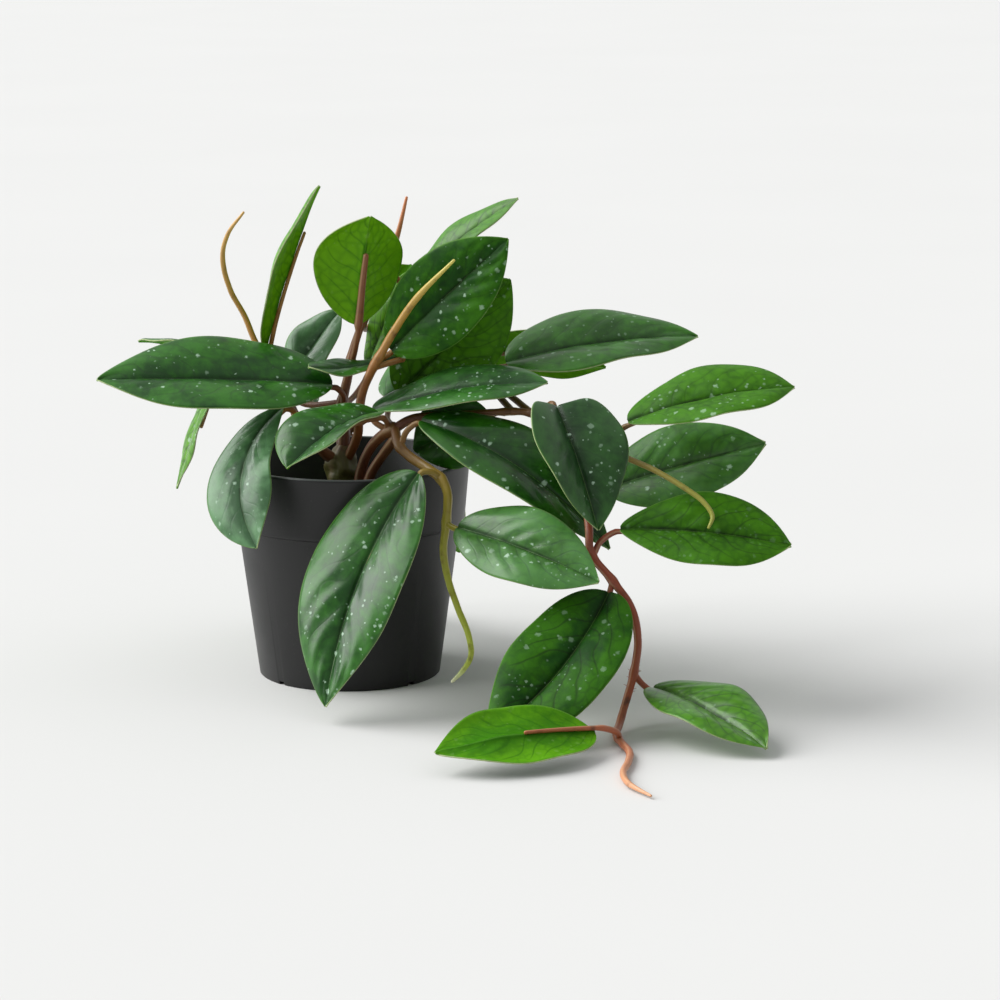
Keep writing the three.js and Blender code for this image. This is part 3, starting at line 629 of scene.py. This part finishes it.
def fleck_layer(n, place, size, share, radius):
    """Soft uneven spots in some cells of a grid of cells size mm wide."""
    scaled = n.add("VectorMath", {"operation": "SCALE"}, Vector=place, Scale=1 / size).outputs[0]
    cells = n.add("TexVoronoi", {"feature": "F1"}, Vector=scaled, Scale=1.0, Randomness=0.9)
    chance = n.add("SeparateColor", Color=cells.outputs["Color"]).outputs
    chosen = n.sums("LESS_THAN", chance["Red"], share)
    ragged = n.plus(n.times(n.clouds(scaled, 4.0, 1.0), 1.2), 0.4)
    reach = n.times(n.times(chance["Green"], radius), ragged)
    faint = n.times(chosen, n.between(chance["Blue"], 0.0, 1.0, 0.35, 1.0))
    return n.times(n.between(n.minus(reach, cells.outputs["Distance"]), -0.05, 0.14), faint)


def all_flecks(n, place):
    cluster = n.clouds(place, 0.06, 1.0)
    large, small, tiny = [fleck_layer(n, place, size, n.between(cluster, *limits), radius)
                          for size, limits, radius in FLECK_SIZES]
    return n.sums("MAXIMUM", n.sums("MAXIMUM", large, small), tiny)


# %% [markdown]
# The midrib and the side veins follow the shares, so they fit each leaf's outline. The side
# veins lean forward by the same numbers as the pressed pillows, so print and relief agree.

# %% Veins
def midrib_and_rim(n, along, side, across_mm, drift):
    """The dark line of the midrib, broken here and there, and the pale line of the rim."""
    width = n.between(along, 0.0, 1.0, 1.8, 0.6)
    off = n.size_of(across_mm)
    midrib_mask = n.times(n.between(n.sums("DIVIDE", off, width), 1.3, 0.3),
                          n.between(along, 1.0, 0.7))
    midrib_mask = n.times(midrib_mask, n.between(drift, 0.36, 0.62, 0.35, 1.0))
    inward = n.minus(n.sums("DIVIDE", 1.0, n.sums("MAXIMUM", side, 0.1)), 1.0)
    return midrib_mask, n.between(n.times(off, inward), 0.7, 0.2)


def side_veins(n, along, signed, side, place):
    lean = n.times(n.sums("POWER", side, VEIN_CURVE), VEIN_LEAN)
    half_step = n.times(n.sums("GREATER_THAN", signed, 0.0), 0.5)
    phase = n.plus(n.minus(n.times(along, float(VEINS)), lean), half_step)
    wander = n.times(n.minus(n.clouds(place, 0.07, 0.0), 0.5), 1.4)
    turn = n.sums("FRACT", n.plus(n.plus(phase, wander), 10.0))
    veins = n.between(n.size_of(n.minus(turn, 0.5)), 0.11, 0.0)
    return n.times(veins, n.between(side, 0.95, 0.6))


# %% [markdown]
# One shared pattern puts these together for both sides of a leaf, and adds the fine net between
# the veins and a cloudy mottle, darker beside the midrib. Net and flecks keep their real size.

# %% Leaf pattern
def leaf_pattern():
    tree = bpy.data.node_groups.new("leaf pattern", "ShaderNodeTree")
    tree.interface.new_socket(name="Seed", in_out="INPUT", socket_type="NodeSocketFloat")
    n = Steps(tree)
    share, mm = [n.add("SeparateXYZ", Vector=n.add("UVMap", {"uv_map": name}).outputs["UV"]).outputs
                 for name in ("shares", "size")]
    shift = n.times(tree.nodes.new("NodeGroupInput").outputs["Seed"], 317.0)
    place = n.add("CombineXYZ", X=n.plus(mm["X"], shift), Y=mm["Y"], Z=shift).outputs[0]
    drift = n.add("TexNoise", Vector=place, Scale=0.11, Detail=2.0).outputs
    bent = n.add("VectorMath", {"operation": "MULTIPLY_ADD"}, Vector=drift["Color"])
    n.feed(bent.inputs[1], Vector((4.5, 4.5, 0.0)))
    n.feed(bent.inputs[2], place)
    bent = bent.outputs[0]

    signed = n.minus(n.times(share["Y"], 2.0), 1.0)
    side = n.size_of(signed)
    midrib_mask, rim = midrib_and_rim(n, share["X"], side, mm["Y"], drift["Fac"])
    veins = side_veins(n, share["X"], signed, side, place)
    cells = n.add("TexVoronoi", {"feature": "DISTANCE_TO_EDGE", "voronoi_dimensions": "2D"},
                  Vector=bent, Scale=0.18, Randomness=0.85).outputs["Distance"]
    net = n.times(n.between(cells, 0.2, -0.05), n.between(n.clouds(place, 0.12, 2.0), 0.36, 0.62))
    flecks = all_flecks(n, place)
    mottle = n.plus(n.clouds(bent, 0.05, 4.0), n.between(side, 0.0, 0.75, -0.14, 0.06))
    mottle = n.plus(mottle, n.times(n.minus(n.clouds(place, 0.24, 3.0), 0.5), 0.55))
    height = n.plus(n.times(veins, -0.22), n.times(net, -0.08))
    for raised in (n.clouds(place, 0.8, 2.0), flecks):
        height = n.plus(height, n.times(raised, 0.1))

    parts = dict(Midrib=midrib_mask, Veins=veins, Net=net, Cells=n.between(cells, -0.05, 0.35),
                 Rim=rim, Flecks=flecks, Mottle=mottle, Height=height)
    for name in parts:
        tree.interface.new_socket(name=name, in_out="OUTPUT", socket_type="NodeSocketFloat")
    n.fill(tree.nodes.new("NodeGroupOutput"), parts)
    return tree


PATTERN = leaf_pattern()
print("the leaf pattern has", len(PATTERN.nodes), "steps")

# %% [markdown]
# ## Leaf finishes
# The upper side is a deep green with a soft satin skin; leaves with the light behind them are
# lighter and yellower. The underside is duller and yellow-green, and its veins show darker. The
# cut edge shows the pale core of the sheet.

# %% Leaf finishes
# the second colour is the pale film painted on some leaves for the window's shine
SHADED, PAINTED_SHEEN_WHITE, RIM_GREEN = colour(6, 26, 4), colour(128, 168, 134), colour(104, 146, 62)


def leaf_side(name, dark, mid, lit, vein, fleck, lines, flecks, rough, coat, gloss):
    finish, n = new_finish(name)
    dark, mid, lit, vein, fleck = [colour(*hue) for hue in (dark, mid, lit, vein, fleck)]
    look = n.add("Group", {"node_tree": PATTERN}, Seed=n.stored("seed")).outputs
    light, mottle = n.stored("light"), look["Mottle"]
    plain = n.plus(n.times(light, 0.3), n.plus(n.stored("veined"), lines))
    printed = n.times(n.minus(1.0, n.stored("bare")), flecks)
    green = n.blend(n.between(mottle, 0.24, 0.74), dark, mid)
    for share, hue in (
        (n.times(light, n.plus(n.times(look["Cells"], 0.35), 0.55)), lit),
        (n.times(light, -1.0), SHADED),
        (n.times(look["Net"], n.times(plain, 0.8)), vein),
        (n.times(look["Veins"], n.plus(plain, 0.12)), vein),
        # a pale film painted on for the window's shine, fuller where the mottle is light
        (n.times(n.stored("painted_sheen"), n.between(mottle, 0.25, 0.7, 0.4, 1.0)), PAINTED_SHEEN_WHITE),
        (n.times(look["Midrib"], 0.8), vein),
        (n.times(look["Flecks"], printed), fleck),
        (n.times(look["Rim"], 0.5), RIM_GREEN),
    ):
        green = n.blend(share, green, hue)
    dull = n.sums("MAXIMUM", n.stored("matt"), look["Midrib"])
    satin = n.between(mottle, 0.2, 0.8, rough - 0.05, rough + 0.07)
    n.skin(Base_Color=green, Roughness=n.plus(satin, n.times(dull, 0.25)),
           Coat_Weight=n.times(n.minus(1.0, dull), coat), Coat_Roughness=0.24,
           Specular_IOR_Level=gloss, Normal=n.bump(0.4, 0.4, look["Height"]))
    return finish


UPPER = leaf_side("leaf upper side", (14, 62, 6), (42, 106, 6), (96, 160, 8), (12, 44, 6),
                  (176, 206, 180), lines=0.2, flecks=0.8, rough=0.34, coat=0.15, gloss=0.38)
DULL = leaf_side("leaf upper side, dull", (14, 62, 2), (50, 106, 4), (88, 150, 6), (14, 34, 6),
                 (170, 200, 172), lines=0.12, flecks=0.65, rough=0.42, coat=0.0, gloss=0.16)
UNDER = leaf_side("leaf underside", (58, 122, 4), (88, 152, 8), (108, 172, 10), (40, 98, 2),
                  (150, 188, 110), lines=-0.04, flecks=0.2, rough=0.5, coat=0.0, gloss=0.12)
EDGE, n = new_finish("leaf cut edge")
core = n.blend(n.clouds(n.place(), 400.0, 2.0), colour(120, 146, 84), colour(190, 200, 150))
n.skin(Base_Color=core, Roughness=0.55)

# %% [markdown]
# ## All the leaves
# Each leaf gets its own seed, so that no two carry the same flecks. The sheet's thickness comes
# last, from a modifier with one finish for each side and one for the cut edge.

# %% Every leaf
for count, leaf in enumerate(LEAVES):
    bm = leaf_mesh(leaf, count * 0.37)
    piece = hand_over(bm, "blade_" + leaf["name"], leaf["slot"], "leaf_" + leaf["name"],
                      turn_out=False)
    for finish in (DULL if leaf["number"] in DULL_LEAVES else UPPER, UNDER, EDGE):
        piece.data.materials.append(finish)
    sheet = piece.modifiers.new("sheet", "SOLIDIFY")
    sheet.thickness, sheet.offset = SHEET, 0.0
    sheet.material_offset, sheet.material_offset_rim = 1, 2
print(len(LEAVES), "leaves,", len(piece.data.polygons), "faces each before their thickness")

# %% [markdown]
# ## Stem finishes
# The stems are one plastic in several colours, brushed over by hand: each runs from a darker
# foot to a paler tip, with blotches, a fine grain and a pale parting line, which is painted
# paler partly for its own colour and partly as a highlight along the stem.

# %% Stem finishes
BLOTCH, PARTING_LINE_AND_HIGHLIGHT = colour(84, 50, 32), colour(214, 190, 150)
STEM_COLOURS = {  # the frame's finish name, then colours from foot to tip
    "trunk": ("olive_stem", (0, 60, 70, 30), (0.7, 78, 88, 38), (1, 100, 88, 48)),
    "stem_left": ("olive_stem", (0, 112, 68, 38), (0.35, 144, 88, 42), (0.7, 176, 132, 50),
                  (1, 206, 162, 88)),
    "stem_upright": ("brown_stem", (0, 98, 58, 32), (0.5, 136, 82, 44), (1, 206, 126, 80)),
    "stem_upper": ("tan_stem", (0, 120, 70, 34), (0.45, 152, 96, 46), (0.72, 182, 142, 60),
                   (1, 206, 194, 92)),
    "stem_front": ("brown_stem", (0, 78, 46, 30), (0.8, 116, 70, 42), (1, 128, 88, 48)),
    "stem_pendant": ("green_stem", (0, 132, 86, 50), (0.3, 136, 112, 40), (0.7, 170, 176, 50),
                     (0.93, 206, 222, 84), (1, 240, 242, 200)),
    "stem_right": ("brown_stem", (0, 106, 60, 40), (0.6, 116, 84, 38), (1, 156, 160, 64)),
    "stem_trailing": ("red_brown_stem", (0, 120, 56, 36), (0.4, 146, 70, 44),
                      (0.7, 174, 98, 62), (1, 214, 156, 114)),
    "stem_rear": ("brown_stem", (0, 104, 66, 44), (0.6, 120, 82, 46), (1, 150, 138, 62)),
}


def stem_finish(name, colours):
    finish, n = new_finish(name)
    place = n.place()
    spots = n.clouds(place, 140.0, 4.0)
    base = n.blend(n.between(spots, 0.52, 0.85), n.ramp(n.stored("tone"), colours), BLOTCH)
    # the parting line is made paler: partly its own colour, partly a painted highlight
    base = n.blend(n.times(n.stored("seam"), 0.3), base, PARTING_LINE_AND_HIGHLIGHT)
    grain = n.plus(n.clouds(place, 900.0, 3.0), n.times(spots, 1.5))
    n.skin(Base_Color=base, Roughness=n.between(spots, 0.3, 0.7, 0.36, 0.5),
           Normal=n.bump(0.4, 0.25, grain))
    return finish


# %% [markdown]
# ## Stems with their petioles
# A leaf's petiole leaves the stem, lines up with the blade and runs on beneath it as a rib,
# which stops bluntly before the middle of the leaf. That blunt end shows plainly on the leaves
# that turn their undersides to the viewer.

# %% Petioles
PETIOLE, LEAD, LEAD_SHARE, KNEES = 1.45, 12, 0.4, (0.6, 0.35)
RIB_STATIONS = (0.15, 0.38, 0.6)
RIB_CLEAR = 0.5  # from the sheet's middle to the rib's upper side
RIB_SPACING = 1.5  # mm from one station of a petiole to the next


def petiole_line(leaf):
    axes, rib = leaf_axes(leaf), leaf["rib"]

    def under(s):
        up = midrib_frame(leaf, axes, s)[1]
        return midrib(leaf, axes, s) - up * (RIB_CLEAR + (rib if s > 0 else PETIOLE))

    joint, base = Vector(leaf["joint"]), under(0)
    start = (midrib(leaf, axes, 2 * STEP) - midrib(leaf, axes, 0)).normalized()
    lead = base - start * min(LEAD, LEAD_SHARE * (joint - base).length)
    points = [joint, joint.lerp(lead, KNEES[0]), base.lerp(lead, KNEES[1]), base]
    radii = [PETIOLE * 1.1, PETIOLE, PETIOLE, rib * 1.05]
    end = leaf["rib_share"]
    for s in [share for share in RIB_STATIONS if share < end - 0.05] + [end]:
        points.append(under(s))
        radii.append(rib * (1 - 0.5 * s))
    return smooth_line(points, radii, RIB_SPACING)


# %% [markdown]
# Where the halves of the mould met badly, the trailing stem carries a few hair-thin threads of
# flash. They are tiny tubes, made like the stems.

# %% Threads of flash
HAIRS, HAIR_PLACE, HAIR_STATIONS, HAIR_REACH = 11, 0.46, 12, (1.0, 2.2)
HAIR_RADII, HAIR_SEED = [0.16, 0.13, 0.08], 5


def add_hairs(bm, line):
    """Short threads of mould flash that stand out from a few millimetres of a stem."""
    rng = random.Random(HAIR_SEED)
    first = int(HAIR_PLACE * len(line))
    for _ in range(HAIRS):
        centre, radius, share = line[first + rng.randrange(HAIR_STATIONS)]
        angle = rng.uniform(-0.7, 0.7) + rng.choice((0, math.pi))
        outward = Vector((math.cos(angle), 0.3, math.sin(angle))).normalized()
        root = centre + outward * radius * 0.8
        reach = outward * rng.uniform(*HAIR_REACH)
        bend = Vector((0, 0, rng.uniform(-0.3, 0.3)))
        thread = smooth_line([root, root + reach * 0.5 + bend, root + reach], HAIR_RADII, 0.6)
        add_tube(bm, thread, 6, tones=(share, share), ridge=0.0)


# %% [markdown]
# Each stem and its petioles are one piece, as they were moulded in one. A petiole takes the
# colour that its stem has where the two part.

# %% Every stem
TRUNK_SIDES, STEM_SIDES, PETIOLE_SIDES = 24, 16, 12
TRUNK_RIDGE, TRUNK_WOBBLE = 0.3, 0.34
PALE_PETIOLES = {"stem_left": 0.5}  # petioles are at least as pale as this share of their stem


def nearest_share(line, point):
    return min(line, key=lambda station: (station[0] - point).length_squared)[2]


for name, stem in STEMS.items():
    bm = new_tubes()
    line = smooth_line(stem["line"], stem["radii"], STATION)
    joined = [leaf for leaf in LEAVES if "stem_" + leaf["stem"] == name]
    knots = [Vector(leaf["joint"]) for leaf in joined]
    if name == "trunk":
        add_tube(bm, line, TRUNK_SIDES, ridge=TRUNK_RIDGE, wobble=TRUNK_WOBBLE)
    else:
        add_tube(bm, line, STEM_SIDES, knots)
    if "second" in stem:
        add_tube(bm, smooth_line(stem["second"], stem["second_radii"], STATION), STEM_SIDES)
    for leaf, knot in zip(joined, knots):
        tone = max(nearest_share(line, knot), PALE_PETIOLES.get(name, 0.0))
        add_tube(bm, petiole_line(leaf), PETIOLE_SIDES, tones=(tone, tone))
    if name == "stem_trailing":
        add_hairs(bm, line)
    slot, *colours = STEM_COLOURS[name]
    piece = hand_over(bm, "growth_" + name, slot, name)
    piece.data.materials.append(stem_finish("finish " + name, colours))
print(len(STEMS), "stems with", len(LEAVES), "petioles")

# %% [markdown]
# ## The pot
# The pot is a thin injection moulding: a plain flaring body, a taller collar that steps out and
# a rolled edge. Its wall is drawn once as an outline and spun about the axis, the drain holes
# and the notches in the foot are cut out, and a bevel breaks the sharp corners.

# %% Pot shape
RIM, HEIGHT, FOOT, WALL, COLLAR = 60.0, 108.0, 45.0, 1.6, 30.0
COLLAR_FOOT, BODY_TOP, STEP_HEIGHT = 57.5, 55.0, 3.0
FLOOR_UNDER, FLOOR_TOP, RING, PAD = 1.6, 3.8, 6.0, 12.0
LINE = HEIGHT - COLLAR
POT_OUTLINE = [
    (0, 0), (PAD, 0), (PAD + 0.6, FLOOR_UNDER), (FOOT - RING, FLOOR_UNDER),
    (FOOT - RING + 0.6, 0), (FOOT - 0.5, 0), (FOOT, 0.5),
    (BODY_TOP - 0.2, LINE - STEP_HEIGHT - 1), (BODY_TOP + 0.1, LINE - 1.8),
    (COLLAR_FOOT - 1.2, LINE - 0.9), (COLLAR_FOOT - 0.3, LINE - 0.7), (COLLAR_FOOT, LINE - 0.2),
    (COLLAR_FOOT + 0.05, LINE + 1), (RIM - 0.05, HEIGHT - 1.6), (RIM, HEIGHT - 0.9),
    (RIM - 0.25, HEIGHT - 0.2), (RIM - 0.9, HEIGHT), (RIM - WALL - 0.3, HEIGHT),
    (RIM - WALL - 0.8, HEIGHT - 0.6), (COLLAR_FOOT - WALL, LINE),
    (BODY_TOP - WALL, LINE - STEP_HEIGHT), (FOOT - WALL, FLOOR_TOP), (0, FLOOR_TOP),
]
HOLES, HOLE_CIRCLE, HOLE_RADIUS = 6, 27, 4.5
NOTCHES, NOTCH_TURN, NOTCH_SIZE = 4, 44, (10, 3.4, 3.4)
CORNER, CORNER_ANGLE = 0.25, 40  # the bevel's width in mm, and the angle it starts from


def spun(bm, outline, steps):
    """Spins an outline of (radius, height) in mm about the upright axis."""
    corners = [bm.verts.new((x * MM, 0, z * MM)) for x, z in outline]
    chain = [bm.edges.new(pair) for pair in zip(corners, corners[1:])]
    bmesh.ops.spin(bm, geom=corners + chain, cent=(0, 0, 0), axis=(0, 0, 1), angle=math.tau,
                   steps=steps, use_merge=True)
    bmesh.ops.remove_doubles(bm, verts=bm.verts[:], dist=1e-6)


def holes_and_notches():
    cuts = bmesh.new()
    for i in range(HOLES):
        angle = math.tau * (i + 0.5) / HOLES
        across = HOLE_CIRCLE * MM
        place = Matrix.Translation((across * math.cos(angle), across * math.sin(angle), 3 * MM))
        bmesh.ops.create_cone(cuts, cap_ends=True, segments=32, radius1=HOLE_RADIUS * MM,
                              radius2=HOLE_RADIUS * MM, depth=12 * MM, matrix=place)
    for i in range(NOTCHES):
        angle = math.radians(NOTCH_TURN) + math.tau * i / NOTCHES
        place = (Matrix.Rotation(angle, 4, "Z") @ Matrix.Translation(((FOOT - 2) * MM, 0, 0))
                 @ Matrix.Diagonal((*[length * MM for length in NOTCH_SIZE], 1)))
        bmesh.ops.create_cube(cuts, size=1.0, matrix=place)
    return placed("cutter", mesh_from(cuts, "cutter"))


def cut_out(piece, tool):
    """The piece's mesh less the tool's, worked out once and kept."""
    cut = piece.modifiers.new("cut", "BOOLEAN")
    cut.object, cut.solver = tool, "EXACT"
    graph = bpy.context.evaluated_depsgraph_get()
    whole, piece.data = piece.data, bpy.data.meshes.new_from_object(piece.evaluated_get(graph))
    piece.modifiers.clear()
    bpy.data.meshes.remove(whole)
    bpy.data.objects.remove(tool)


# %% [markdown]
# Black plastic is never quite black: it is cloudy, has a fine grain and catches specks of dust.
# The rolled edge has a painted highlight, paler and a little glossier, and the groove under
# the collar holds a painted shadow.

# %% Pot
def plastic_finish():
    finish, n = new_finish("black moulded plastic")
    place = n.place()
    cloud = n.clouds(place, 22.0, 4.0)
    dust = n.add("TexVoronoi", Vector=place, Scale=260.0).outputs["Distance"]
    base = n.blend(cloud, colour(10, 10, 11), colour(17, 17, 18))
    base = n.blend(n.times(n.between(dust, 0.09, 0.04), 0.12), base, colour(120, 118, 112))
    height = n.add("SeparateXYZ", Vector=place).outputs["Z"]
    # a painted highlight along the top of the rolled edge
    painted_rim_highlight = n.between(height, (HEIGHT - 0.7) * MM, (HEIGHT - 0.2) * MM)
    # a painted shadow in the groove under the collar
    groove = n.between(n.size_of(n.minus(height, (LINE - 1.2) * MM)), 1.2 * MM, 0.2 * MM)
    base = n.blend(n.times(groove, 0.85), base, colour(2, 2, 2))
    skin = n.minus(n.between(cloud, 0.3, 0.7, 0.42, 0.52), n.times(painted_rim_highlight, 0.12))
    n.skin(Base_Color=n.blend(painted_rim_highlight, base, colour(92, 96, 96)), Roughness=skin,
           Specular_IOR_Level=0.5, Normal=n.bump(0.25, 0.1, n.clouds(place, 1400.0, 2.0)))
    return finish


bm = bmesh.new()
spun(bm, POT_OUTLINE, 144)
pot = hand_over(bm, "nursery_pot", "black_plastic", "pot")
cut_out(pot, holes_and_notches())
pot.data.materials.clear()
pot.data.materials.append(plastic_finish())
edges = pot.modifiers.new("broken edges", "BEVEL")
edges.width, edges.segments, edges.use_clamp_overlap = CORNER * MM, 2, True
edges.limit_method, edges.angle_limit = "ANGLE", math.radians(CORNER_ANGLE)
print("pot:", len(pot.data.polygons), "faces")

# %% [markdown]
# ## The soil
# Dark peat with crumbs of bark and a few pale grains fills the pot to a low mound. The mound is
# a spun outline, roughened by noise; the crumbs are small balls, each squashed and turned.

# %% Soil
SOIL_TOP, SOIL_FOOT, MOUND = 80.0, 4.1, 4.0
SOIL_RADIUS, SOIL_FOOT_RADIUS, SOIL_RINGS = 52.3, 42.8, 30
CRUMBS, GRAINS, CRUMB_REACH, CRUMB_SEED = 520, 46, 50.5, 7


def soil_mound(bm):
    top_radius = SOIL_RADIUS - 0.8
    outline = [(0, SOIL_FOOT), (SOIL_FOOT_RADIUS, SOIL_FOOT), (SOIL_RADIUS, SOIL_TOP - 1.5)]
    outline += [(top_radius * (1 - i / SOIL_RINGS),
                 SOIL_TOP + MOUND * math.sin(i / SOIL_RINGS * math.pi / 2))
                for i in range(SOIL_RINGS + 1)]
    spun(bm, outline, 110)
    for v in bm.verts:
        if v.co.z > (SOIL_TOP - 0.5) * MM:
            rough = noise.fractal(v.co * 160, 1.0, 2.0, 4) * 1.3 + noise.noise(v.co * 45) * 1.2
            v.co.z += rough * MM


def add_crumbs(bm, kind):
    """Small balls, squashed, turned and dented; pale grains among dark crumbs."""
    rng = random.Random(CRUMB_SEED)
    for i in range(CRUMBS + GRAINS):
        grain = i >= CRUMBS
        far, angle = CRUMB_REACH * math.sqrt(rng.random()), rng.uniform(0, math.tau)
        top = SOIL_TOP + MOUND * math.sin((1 - far / (SOIL_RADIUS - 0.8)) * math.pi / 2)
        size = rng.uniform(0.7, 1.4) if grain else rng.uniform(0.6, 2.2)
        low, high = ((0.6, 1), (0.6, 1)) if grain else ((0.35, 0.8), (0.25, 0.6))
        squash = (1.0, rng.uniform(*low), rng.uniform(*high))
        turn = (Matrix.Rotation(rng.uniform(0, math.tau), 4, "Z")
                @ Matrix.Rotation(rng.uniform(-0.6, 0.6), 4, "X"))
        middle = Vector((far * math.cos(angle), far * math.sin(angle),
                         top + rng.uniform(-0.3, 0.7)))
        place = (Matrix.Translation(middle * MM) @ turn
                 @ Matrix.Diagonal((*[size * k * MM for k in squash], 1)))
        ball = bmesh.ops.create_icosphere(bm, subdivisions=1, radius=1.0, matrix=place)["verts"]
        shade = 1.0 if grain else rng.uniform(0.15, 0.6)
        for v in ball:
            v.co += Vector([rng.uniform(-1, 1) for _ in range(3)]) * size * 0.14 * MM
            v[kind] = shade


def soil_finish():
    finish, n = new_finish("potting soil")
    crumbs = n.clouds(n.place(), 420.0, 6.0)
    earth = n.ramp(n.stored("kind"), [(0, 30, 22, 17), (0.35, 58, 40, 28), (0.62, 92, 66, 44),
                                      (1, 196, 190, 176)])
    n.skin(Base_Color=n.blend(n.between(crumbs, 0.4, 0.62), earth, colour(20, 14, 10)),
           Roughness=n.between(crumbs, 0.3, 0.7, 0.85, 0.98), Normal=n.bump(0.8, 0.6, crumbs))
    return finish


bm = bmesh.new()
kind = bm.verts.layers.float.new("kind")
soil_mound(bm)
add_crumbs(bm, kind)
soil = hand_over(bm, "soil_mound", "potting_soil", "soil")
soil.data.materials.append(soil_finish())
print("soil:", len(soil.data.polygons), "faces")

# %% [markdown]
# ## Floor, light and camera
# The plant stands on a plain pale floor, so wide that its edge lies far off.

# %% Floor
bm = bmesh.new()
bmesh.ops.create_grid(bm, x_segments=4, y_segments=4, size=20.0)
floor = placed("floor", mesh_from(bm, "floor"))
pale, n = new_finish("pale floor")
n.skin(Base_Color=n.blend(n.clouds(n.place(), 3.0, 2.0), colour(210, 210, 208),
                          colour(213, 213, 211)), Roughness=0.9)
floor.data.materials.append(pale)

# %% [markdown]
# The light is that of a white room with one large window. The room itself is dim and a little
# cool, and it is brightest above and behind the plant.

# %% Room
ROOM_LIGHT, ROOM_TINT = (0.3, 0.66), (0.97, 0.98, 1.0, 1.0)
BRIGHTEST = Vector((0.0, 0.5, 0.86))
scene.view_settings.view_transform = "Standard"
world = bpy.data.worlds.new("white room")
scene.world = world
world.use_nodes = True
n = Steps(world.node_tree)
facing = n.add("VectorMath", {"operation": "DOT_PRODUCT"})
n.feed(facing.inputs[0], n.add("TexCoord").outputs["Generated"])
n.feed(facing.inputs[1], BRIGHTEST)
background = world.node_tree.nodes["Background"]
background.inputs["Color"].default_value = ROOM_TINT
n.feed(background.inputs["Strength"],
       n.between(facing.outputs["Value"], -0.3, 1.0, *ROOM_LIGHT))

# %% [markdown]
# The shine on the leaves tells where the window is: far to the left, hardly behind the plant,
# and some 40 degrees up. A broad sun stands in for it, because its shadows are as soft.

# %% Window
TURN, RISE, SPREAD = [math.radians(degrees) for degrees in (96.0, 38.0, 60.0)]
WINDOW_LIGHT = 4.15
light = bpy.data.lights.new("window", "SUN")
light.energy, light.angle = WINDOW_LIGHT, SPREAD
window = placed("window", light)
source = Vector((-math.sin(TURN) * math.cos(RISE), -math.cos(TURN) * math.cos(RISE),
                 math.sin(RISE)))
window.rotation_euler = source.to_track_quat("Z", "Y").to_euler()

# %% [markdown]
# The camera stands where the photograph was taken from: 1.75 m in front, 0.44 m up, with a
# long lens that looks down by 11 degrees.

# %% Camera
STANDPOINT, PITCH = (0.075, -1.75, 0.44), 11.42
FOCAL_PX, PHOTO_PX, SENSOR = 3600.0, 1000, 36.0
camera = bpy.data.cameras.new("camera")
camera.sensor_width, camera.sensor_fit = SENSOR, "HORIZONTAL"
camera.lens = FOCAL_PX / PHOTO_PX * SENSOR
view = placed("camera", camera)
view.location = STANDPOINT
view.rotation_euler = (math.radians(90 - PITCH), 0, 0)
scene.camera = view
print("lens", round(camera.lens, 1), "mm")
